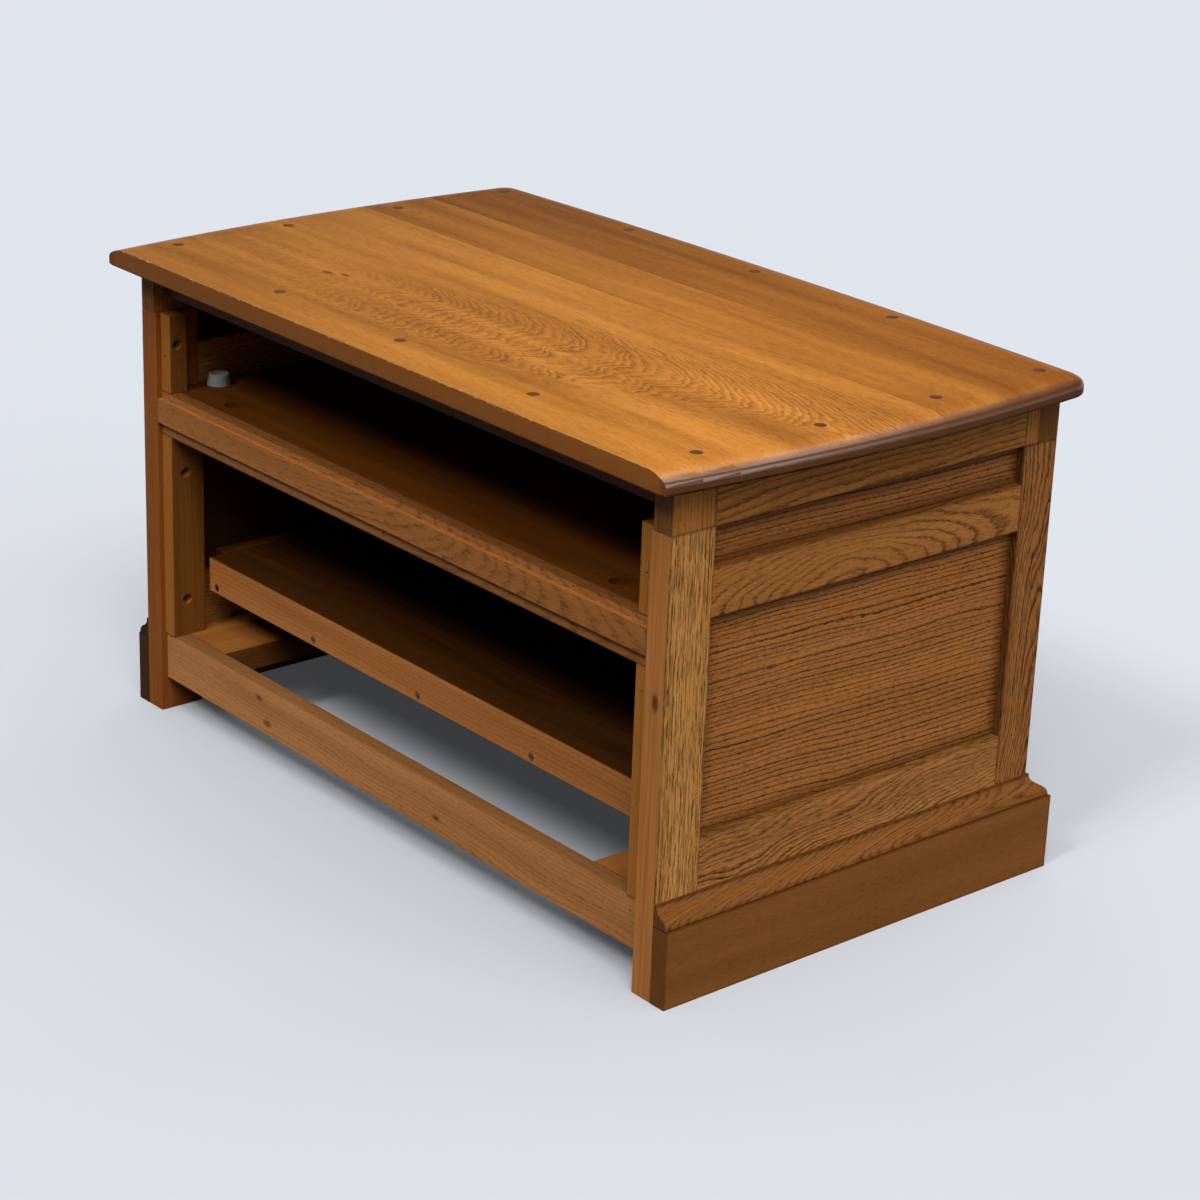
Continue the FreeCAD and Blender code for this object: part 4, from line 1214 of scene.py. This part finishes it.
@dataclass
class EndFrames(SubAssembly):
    """Two frame-and-panel ends."""

    def boards(self) -> List[Board]:
        """Stiles, rails, frieze pieces and panels of both ends.

        Returns:
            The boards.
        """
        found: List[Board] = []
        rail, upright = Cut.RAIL_FRONT_TO_BACK, Cut.UPRIGHT_ON_END
        for step, side in enumerate(SIDES):
            inward = -SIDES[side]
            stile = ELM_STILE if side == "left" else ELM_STILE_FAR
            panel = ELM_END_PANEL if side == "left" else ELM_END_PANEL_FAR
            rows = [
                ("rear_stile", stile, upright,
                 LogPlace(across=-150.0, depth=inward * 60.0, ring_mm=3.4, sway_mm=2.0, curl_mm=0.7,
                          jag=0.5)),
                ("front_stile", ELM_STRAIGHT, upright,
                 LogPlace(along=90.0, across=-30.0, depth=inward * 34.0, ring_mm=2.8, tilt_deg=4.0,
                          sway_mm=6.0, sway_length_mm=170.0)),
                ("frieze_block_rear", ELM_FRIEZE, upright,
                 LogPlace(across=-120.0, depth=inward * 70.0, ring_mm=4.0, sway_mm=3.0)),
                ("frieze_block_front", ELM_FRIEZE, upright,
                 LogPlace(across=-90.0, depth=inward * 70.0, ring_mm=4.0, sway_mm=3.0)),
                ("end_frieze_rail", ELM_FRIEZE, rail,
                 LogPlace(along=-140.0, across=-70.0, depth=inward * 90.0, ring_mm=4.0, tilt_deg=3.0,
                          skew_deg=-3.0)),
                ("end_mid_rail", ELM_MID, rail,
                 LogPlace(along=46.0, across=-32.0, depth=inward * 20.0, ring_mm=5.0, rise_mm=inward * 44.0,
                          rise_length_mm=150.0, skew_deg=4.0, sway_mm=4.0, sway_length_mm=110.0)),
                ("end_bottom_rail", ELM_BOTTOM, rail,
                 LogPlace(along=20.0, across=-44.0, depth=inward * 40.0, ring_mm=4.2, tilt_deg=6.0,
                          skew_deg=4.0, sway_mm=9.0, sway_length_mm=130.0)),
                # A darker late colour on the upper panel: painted shade under the top's overhang.
                ("end_upper_panel", replace(panel, late="#b06e34"), rail,
                 LogPlace(across=-240.0, depth=inward * 90.0, ring_mm=5.2, skew_deg=-1.0, sway_mm=3.0,
                          curl_mm=0.25, curl_size_mm=(16.0, 6.0), jag=0.18)),
                ("end_lower_panel", panel, rail,
                 LogPlace(across=-330.0, depth=inward * 110.0, ring_mm=5.2, skew_deg=-1.5, sway_mm=5.0,
                          curl_mm=0.25, curl_size_mm=(16.0, 6.0), jag=0.18)),
            ]
            found += [Board(name + "_" + side, finish, cut, place.moved(step))
                      for name, finish, cut, place in rows]
        return found


@dataclass
class Plinth(SubAssembly):
    """Plinth boards with their ogee moulding."""

    def boards(self) -> List[Board]:
        """Both end boards and the front board.

        Returns:
            The boards.
        """
        found = [Board("plinth_front", ELM_PLINTH, Cut.RAIL_LENGTHWAYS,
                       LogPlace(along=90.0, across=46.0, depth=60.0, ring_mm=2.4, tilt_deg=6.0))]
        for step, (side, sign) in enumerate(SIDES.items()):
            finish = ELM_PLINTH if side == "left" else ELM_PLINTH_FAR
            place = LogPlace(along=-150.0, across=46.0, depth=sign * 60.0, ring_mm=2.4,
                             tilt_deg=sign * 9.0, skew_deg=4.0)
            found.append(Board("plinth_" + side, finish, Cut.RAIL_FRONT_TO_BACK, place.moved(step)))
        return found


@dataclass
class OpenBack(SubAssembly):
    """What shows through the open back: cleats, rails, shelf, floor, base and buffers."""

    buffer_x: float = 405.0
    buffer_y: float = 190.5
    buffer_recess_radius_mm: float = 3.8
    buffer_recess_mm: float = 5.0
    buffer_foot_mm: Tuple[Pair, ...] = ((-0.5, 0.0), (0.0, 0.4), (-0.15, 1.4))
    buffer_lip_mm: Tuple[Pair, ...] = (
        (-2.4, -1.2), (-2.6, -0.5), (-3.0, -0.1), (-3.6, 0.0), (-4.6, -0.1), (-5.0, -0.8))
    buffer_mouth_mm: Tuple[Pair, ...] = ((0.6, -0.8), (0.0, -1.4))
    buffer_segments: int = 40
    buffer_screw_gap_mm: float = 0.4
    buffer_screw_lift_mm: float = 0.3
    cleat_screw_places: Tuple[Pair, ...] = ((247.0, 446.0), (238.0, 294.5), (238.0, 140.5))
    cleat_head_x: float = 411.0
    rail_screw_spacing_mm: float = 193.0
    rail_screws_each_way: int = 2
    rail_screw_height_mm: float = 7.5
    rail_screw_sunk_mm: float = 0.3

    def boards(self) -> List[Board]:
        """The plain stained boards inside.

        Returns:
            The boards.
        """
        found: List[Board] = []
        for step, side in enumerate(SIDES):
            found += [
                Board("upper_cleat_" + side, BEECH_CLEAT, Cut.UPRIGHT_ON_BACK,
                      LogPlace(across=60.0, depth=90.0, ring_mm=3.2, sway_mm=3.0).moved(step)),
                Board("lower_cleat_" + side, BEECH_CLEAT, Cut.UPRIGHT_ON_BACK,
                      LogPlace(across=70.0, depth=60.0, ring_mm=3.6).moved(step)),
                Board("base_side_board_" + side, BEECH_SIDE, Cut.FLAT_FRONT_TO_BACK,
                      LogPlace(across=-120.0, depth=-80.0, ring_mm=4.0).moved(step)),
            ]
        lying, standing, short = Cut.FLAT_LENGTHWAYS, Cut.RAIL_LENGTHWAYS, Cut.FLAT_FRONT_TO_BACK
        found += [
            Board("mid_rear_rail", ELM_RAIL, standing,
                  LogPlace(along=-260.0, across=30.0, depth=-60.0, ring_mm=4.0, tilt_deg=8.0,
                           skew_deg=-6.0)),
            Board("shelf_board", BEECH_SHELF, lying, LogPlace(across=-260.0, depth=-90.0)),
            Board("floor_board", BEECH_FLOOR, lying, LogPlace(across=200.0, depth=-70.0)),
            Board("floor_rear_rail", BEECH_RAIL, standing, LogPlace(across=80.0, depth=-60.0, ring_mm=4.0)),
            Board("base_rear_rail", BEECH_BASE, standing,
                  LogPlace(along=120.0, across=-70.0, depth=-50.0, ring_mm=4.4, tilt_deg=2.0, sway_mm=6.0)),
            Board("rear_top_rail", BEECH_SHELF, standing, LogPlace(across=60.0, depth=-60.0, ring_mm=4.0)),
            Board("shelf_bearers", BEECH_SHELF, short, LogPlace(across=900.0, ring_mm=4.0)),
            Board("floor_bearers", BEECH_SHELF, short, LogPlace(across=900.0, ring_mm=4.0)),
        ]
        return found

    def build_buffers(self, steel: bpy.types.Material) -> None:
        """Rubber buffers, each held by a slotted screw in its sunk middle.

        The profile goes out along the foot and up the sloping side, over the rounded lip, and down
        into the recess. The foot's and the lip's points are measured from the base's edge and the mouth's
        from the recess, the foot's up from the ground and the others down from the crown.

        Args:
            steel: the screws' material.
        """
        low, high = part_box("rubber_buffers")
        foot, tall = low.z * PER_METRE, (high.z - low.z) * PER_METRE
        base = high.x * PER_METRE - self.buffer_x
        mouth, sunk = self.buffer_recess_radius_mm, tall - self.buffer_recess_mm
        profile = np.concatenate([
            [(0.0, 0.0)], np.array(self.buffer_foot_mm) + (base, 0.0),
            np.array(self.buffer_lip_mm) + (base, tall), np.array(self.buffer_mouth_mm) + (mouth, tall),
            [(mouth, sunk), (0.0, sunk)]])
        places = np.array([(sign * self.buffer_x, self.buffer_y, foot) for sign in SIDES.values()])
        turned = lathe(profile, self.buffer_segments)
        piece("turned_buffers", copies(turned, places, UP), GREY_RUBBER.material(), "carcass",
              ("rubber_buffers",))
        head = slotted_head(radius=mouth - self.buffer_screw_gap_mm, proud=0.5,
                            sunk=self.buffer_screw_lift_mm, slot_width=0.9, slot_depth=0.5)
        lifted = places + [0.0, 0.0, sunk + self.buffer_screw_lift_mm]
        piece("buffer_screw_heads", copies(head, lifted, UP), steel, "carcass")

    def build(self) -> None:
        """Buffers, and slotted heads in the holes of the cleats and of the floor's rail."""
        steel = DARK_STEEL.material()
        self.build_buffers(steel)
        places = np.array([(sign * self.cleat_head_x, y, z) for sign in SIDES.values()
                           for y, z in self.cleat_screw_places])
        axes = -np.sign(places[:, :1]) * SIDEWAYS
        head = slotted_head(radius=4.0, proud=0.8, sunk=2.9, slot_width=1.1, slot_depth=1.0)
        piece("cleat_screw_heads", copies(head, places, axes), steel, "carcass",
              ("cleat_screws",))
        low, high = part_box("floor_rear_rail")
        steps = np.arange(-self.rail_screws_each_way, self.rail_screws_each_way + 1)
        places = np.stack([steps * self.rail_screw_spacing_mm,
                           0.0 * steps + high.y * PER_METRE - self.rail_screw_sunk_mm,
                           0.0 * steps + low.z * PER_METRE + self.rail_screw_height_mm], axis=1)
        head = slotted_head(radius=4.2, proud=0.2, sunk=2.0, slot_width=1.0, slot_depth=0.9)
        piece("floor_rail_screw_heads", copies(head, places, BACKWARD), steel, "carcass")


@dataclass
class Front(SubAssembly):
    """Fall flap, pair of doors, the rails round them and their hinges."""

    hinge_screw_radius_mm: float = 2.6
    hinge_screw_inset_mm: float = 10.0
    hinge_screw_y: float = -248.5
    hinge_length_mm: float = 50.0
    door_hinge_z: Pair = (187.0, 270.0)
    flap_hinge_x: Pair = (-355.0, 305.0)
    fixed_leaf_x: float = 422.0
    moving_leaf_x: float = 421.0
    fixed_leaf_z: float = 390.0
    moving_leaf_z: float = 391.0

    def boards(self) -> List[Board]:
        """Rails, door frames, panels, knobs and the flap.

        Returns:
            The boards.
        """
        standing, turned = Cut.RAIL_LENGTHWAYS, Cut.FLAT_FRONT_TO_BACK
        found = [
            Board("front_frieze_rail", ELM_FRIEZE, standing,
                  LogPlace(along=-200.0, across=-20.0, depth=70.0, ring_mm=3.0, tilt_deg=5.0)),
            Board("front_mid_rail", ELM_FRAME, standing,
                  LogPlace(along=160.0, across=-16.0, depth=60.0, ring_mm=3.4, tilt_deg=-5.0)),
            Board("base_front_rail", ELM_FRAME, standing,
                  LogPlace(along=-120.0, across=12.0, depth=70.0, ring_mm=3.4, tilt_deg=-4.0)),
            Board("flap_board", ELM_PANEL, standing,
                  LogPlace(along=60.0, across=-10.0, depth=80.0, ring_mm=3.4, tilt_deg=6.0, sway_mm=5.0)),
            Board("flap_knobs", ELM_FRAME, turned, LogPlace(across=60.0, depth=50.0, ring_mm=3.0)),
        ]
        for step, side in enumerate(SIDES):
            found += [
                Board("door_" + side + "_frame", ELM_DOOR, Cut.UPRIGHT_ON_BACK,
                      LogPlace(across=-260.0, ring_mm=4.0, tilt_deg=1.0).moved(step)),
                Board("door_" + side + "_panel", ELM_PANEL, standing,
                      LogPlace(along=40.0, across=-20.0, depth=90.0, ring_mm=3.4, tilt_deg=7.0,
                               sway_mm=5.0).moved(step)),
                Board("door_" + side + "_knob", ELM_FRAME, turned,
                      LogPlace(across=60.0, depth=50.0, ring_mm=3.0).moved(step)),
            ]
        return found

    def hinge_screws(self, body: str, face: float, flap: bool, sides: Sequence[int],
                     facing: int) -> Surface:
        """Slotted heads on the hinge leaves of one body.

        Args:
            body: the body's name, for the log.
            face: distance of the leaves' faces, across for doors and up for the flap.
            flap: True for the flap's leaves, which lie level.
            sides: signs of X of the doors' leaves.
            facing: 1 where the faces look away from the middle or up, -1 where they look back.

        Returns:
            Vertices and triangles.
        """
        ends = (self.hinge_screw_inset_mm, self.hinge_length_mm - self.hinge_screw_inset_mm)
        if flap:
            places = np.array([(x + end, self.hinge_screw_y, face) for x in self.flap_hinge_x
                               for end in ends])
            axes = np.multiply(UP, facing)
        else:
            places = np.array([(sign * face, self.hinge_screw_y, z + end) for sign in sides
                               for z in self.door_hinge_z for end in ends])
            axes = facing * np.sign(places[:, :1]) * SIDEWAYS
        LOG.info("%d hinge screws on %s", len(places), body)
        head = slotted_head(self.hinge_screw_radius_mm, proud=0.12, sunk=1.0, slot_width=0.7,
                            slot_depth=0.6)
        return copies(head, places, axes)

    def build(self) -> None:
        """Brass hinges with slotted screws, steel strikes and plastic catches."""
        brass, steel = BRASS.material(), ZINC_STEEL.material()
        for node in sorted(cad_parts):
            if "hinge" in node:
                cover(node, brass)
            if node.endswith("_strike"):
                cover(node, steel)
        cover("magnetic_catches", BROWN_PLASTIC.material())
        both = list(SIDES.values())
        fixed = self.hinge_screws("carcass", self.fixed_leaf_x, False, both, -1)
        piece("door_leaf_screws_fixed", fixed, brass, "carcass")
        fixed = self.hinge_screws("carcass", self.fixed_leaf_z, True, both, 1)
        piece("flap_leaf_screws_fixed", fixed, brass, "carcass")
        for side, sign in SIDES.items():
            body = "door_" + side
            moving = self.hinge_screws(body, self.moving_leaf_x, False, [sign], 1)
            piece(body + "_leaf_screws", moving, brass, body)
        moving = self.hinge_screws("flap", self.moving_leaf_z, True, both, -1)
        piece("flap_leaf_screws", moving, brass, "flap")


class LampTask(Enum):
    """What a lamp is for: to light and to shine in the gloss, to light only, or to shine only."""

    LIGHT_AND_SHINE = (True, True)
    LIGHT = (True, False)
    SHINE = (False, True)


@dataclass(frozen=True)
class Lamp:
    """Distant soft lamp: its task, where it stands, its strength and the angle that it spans."""

    name: str
    task: LampTask
    stands: Triple
    strength: float
    angle_deg: float

    def build(self) -> None:
        """Hang the lamp so that it looks at the cabinet."""
        data = bpy.data.lights.new(self.name, "SUN")
        data.energy = self.strength
        data.angle = math.radians(self.angle_deg)
        shown = bpy.data.objects.new(self.name, data)
        shown.rotation_euler = Vector(self.stands).to_track_quat("Z", "Y").to_euler()
        shown.visible_diffuse, shown.visible_glossy = self.task.value
        bpy.context.scene.collection.objects.link(shown)


@dataclass
class Studio:
    """Plain pale floor, dim walls, a bright soft ceiling and soft lamps.

    The fills light the sides that the main lamps miss. The softboxes show in the gloss alone.
    """

    floor_colour: str = "#d5d9df"
    floor_bounce: str = "#595959"
    floor_fill: float = 0.06
    floor_half_m: float = 40.0
    sky_colour: str = "#f4f7fb"
    horizon: float = 0.8
    horizon_band: Pair = (0.14, 0.24)
    walls: float = 0.03
    ceiling: float = 0.7
    ceiling_band: Pair = (0.6, 0.85)
    lamps: Tuple[Lamp, ...] = (
        Lamp("lamp_over_camera", LampTask.LIGHT_AND_SHINE, (-0.50, 0.39, 0.77), 1.3, 30.0),
        Lamp("lamp_behind_back", LampTask.LIGHT_AND_SHINE, (-0.10, 0.66, 0.745), 0.9, 14.0),
        Lamp("fill_beside_end", LampTask.LIGHT, (-0.85, -0.10, 0.52), 0.65, 60.0),
        Lamp("fill_before_front", LampTask.LIGHT, (0.10, -0.92, 0.38), 0.5, 60.0),
        Lamp("fill_beside_far_end", LampTask.LIGHT, (0.92, -0.12, 0.37), 0.35, 60.0),
        Lamp("softbox_over_front", LampTask.SHINE, (0.15, -0.45, 0.88), 1.2, 30.0),
        Lamp("softbox_beside_end", LampTask.SHINE, (-0.86, -0.33, 0.40), 1.8, 40.0))

    def seen(self, tree: Tree) -> Socket:
        """1 for what the camera sees, straight or in a gloss or through glass, else 0.

        Args:
            tree: the node tree of the floor or of the surroundings.

        Returns:
            The factor.
        """
        rays = add_node(tree, "ShaderNodeLightPath").node.outputs
        either = add_node(tree, MATH, {0: rays["Is Glossy Ray"], 1: rays["Is Transmission Ray"]},
                          operation="MAXIMUM")
        return add_node(tree, MATH, {0: rays["Is Camera Ray"], 1: either}, operation="MAXIMUM")

    def floor(self) -> None:
        """A large pale floor that takes the cabinet's shadow and bounces little light."""
        half = self.floor_half_m
        mesh = bpy.data.meshes.new("studio_floor")
        mesh.from_pydata([(-half, -half, 0), (half, -half, 0), (half, half, 0), (-half, half, 0)], [],
                         [(0, 1, 2, 3)])
        shown = bpy.data.objects.new("studio_floor", mesh)
        bpy.context.scene.collection.objects.link(shown)
        made, tree = new_material("matt_paper_floor")
        colour = add_node(tree, MIX, {0: self.seen(tree), 6: hex_linear(self.floor_bounce),
                                      7: hex_linear(self.floor_colour)}, data_type="RGBA")
        fill = add_node(tree, MATH, {0: self.seen(tree), 1: self.floor_fill}, operation="MULTIPLY")
        shader = add_node(tree, SHADER, {
            "Base Color": colour, "Roughness": 1.0, "Specular IOR Level": 0.0,
            "Emission Color": hex_linear(self.floor_colour), "Emission Strength": fill})
        add_node(tree, OUTPUT, {0: shader})
        mesh.materials.append(made)

    def sky(self) -> None:
        """Studio surroundings by height: pale backdrop near the floor, dim walls, bright ceiling."""
        world = bpy.data.worlds.new("studio")
        world.use_nodes = True
        tree = world.node_tree
        tree.nodes.clear()
        around = add_node(tree, COORDS).node.outputs["Generated"]
        height = add_node(tree, SPLIT, {0: around}).node.outputs[2]
        low = add_node(tree, RANGE, {
            "Value": height, "From Min": self.horizon_band[0], "From Max": self.horizon_band[1],
            "To Min": self.horizon, "To Max": 0.0}, interpolation_type="SMOOTHSTEP")
        low = add_node(tree, MATH, {0: low, 1: self.seen(tree), 2: self.walls}, operation="MULTIPLY_ADD")
        high = add_node(tree, RANGE, {
            "Value": height, "From Min": self.ceiling_band[0], "From Max": self.ceiling_band[1],
            "To Max": self.ceiling}, interpolation_type="SMOOTHSTEP")
        level = add_node(tree, MATH, {0: low, 1: high}, operation="ADD")
        glow = add_node(tree, "ShaderNodeBackground", {
            "Color": hex_linear(self.sky_colour), "Strength": level})
        add_node(tree, "ShaderNodeOutputWorld", {0: glow})
        bpy.context.scene.world = world

    def build(self) -> None:
        """Floor, surroundings, lamps and a plain view transform."""
        self.floor()
        self.sky()
        for lamp in self.lamps:
            lamp.build()
        bpy.context.scene.view_settings.view_transform = "Standard"
        LOG.info("studio built with %d lamps", len(self.lamps))


@dataclass
class PhotoCamera:
    """Camera at the photograph's angle, for a square image of 1200 pixels a side."""

    azimuth_deg: float = 229.34
    elevation_deg: float = 21.28
    roll_deg: float = 2.16
    distance_mm: float = 3361.0
    target_mm: Triple = (-21.9, -23.1, 217.3)
    focal_px: float = 3067.0
    image_px: float = 1200.0
    sensor_mm: float = 36.0
    clip_m: float = 200.0

    def build(self) -> None:
        """Place the camera on its back vector from the target, turned by its roll."""
        azimuth, lift = math.radians(self.azimuth_deg), math.radians(self.elevation_deg)
        level = math.cos(lift)
        back = Vector((math.sin(azimuth) * level, -math.cos(azimuth) * level, math.sin(lift)))
        right = Vector(UP).cross(back).normalized()
        up = back.cross(right)
        cos, sin = math.cos(math.radians(self.roll_deg)), math.sin(math.radians(self.roll_deg))
        data = bpy.data.cameras.new("photo_camera")
        data.sensor_width = self.sensor_mm
        data.lens = self.focal_px / self.image_px * self.sensor_mm
        data.clip_end = self.clip_m
        shown = bpy.data.objects.new("photo_camera", data)
        place = (Vector(self.target_mm) + back * self.distance_mm) * MM
        turn = Matrix((cos * right + sin * up, cos * up - sin * right, back)).transposed().to_4x4()
        shown.matrix_world = Matrix.Translation(place) @ turn
        bpy.context.scene.collection.objects.link(shown)
        bpy.context.scene.camera = shown
        LOG.info("camera built, lens %.2f mm", data.lens)


def main() -> None:
    """Build the cabinet's parts in order, then the studio and the camera."""
    logging.basicConfig(level=logging.INFO, format="%(name)s %(message)s")
    for part in (Top(), EndFrames(), Plinth(), OpenBack(), Front()):
        part.run()
    Studio().build()
    PhotoCamera().build()


if __name__ == "__main__":
    main()
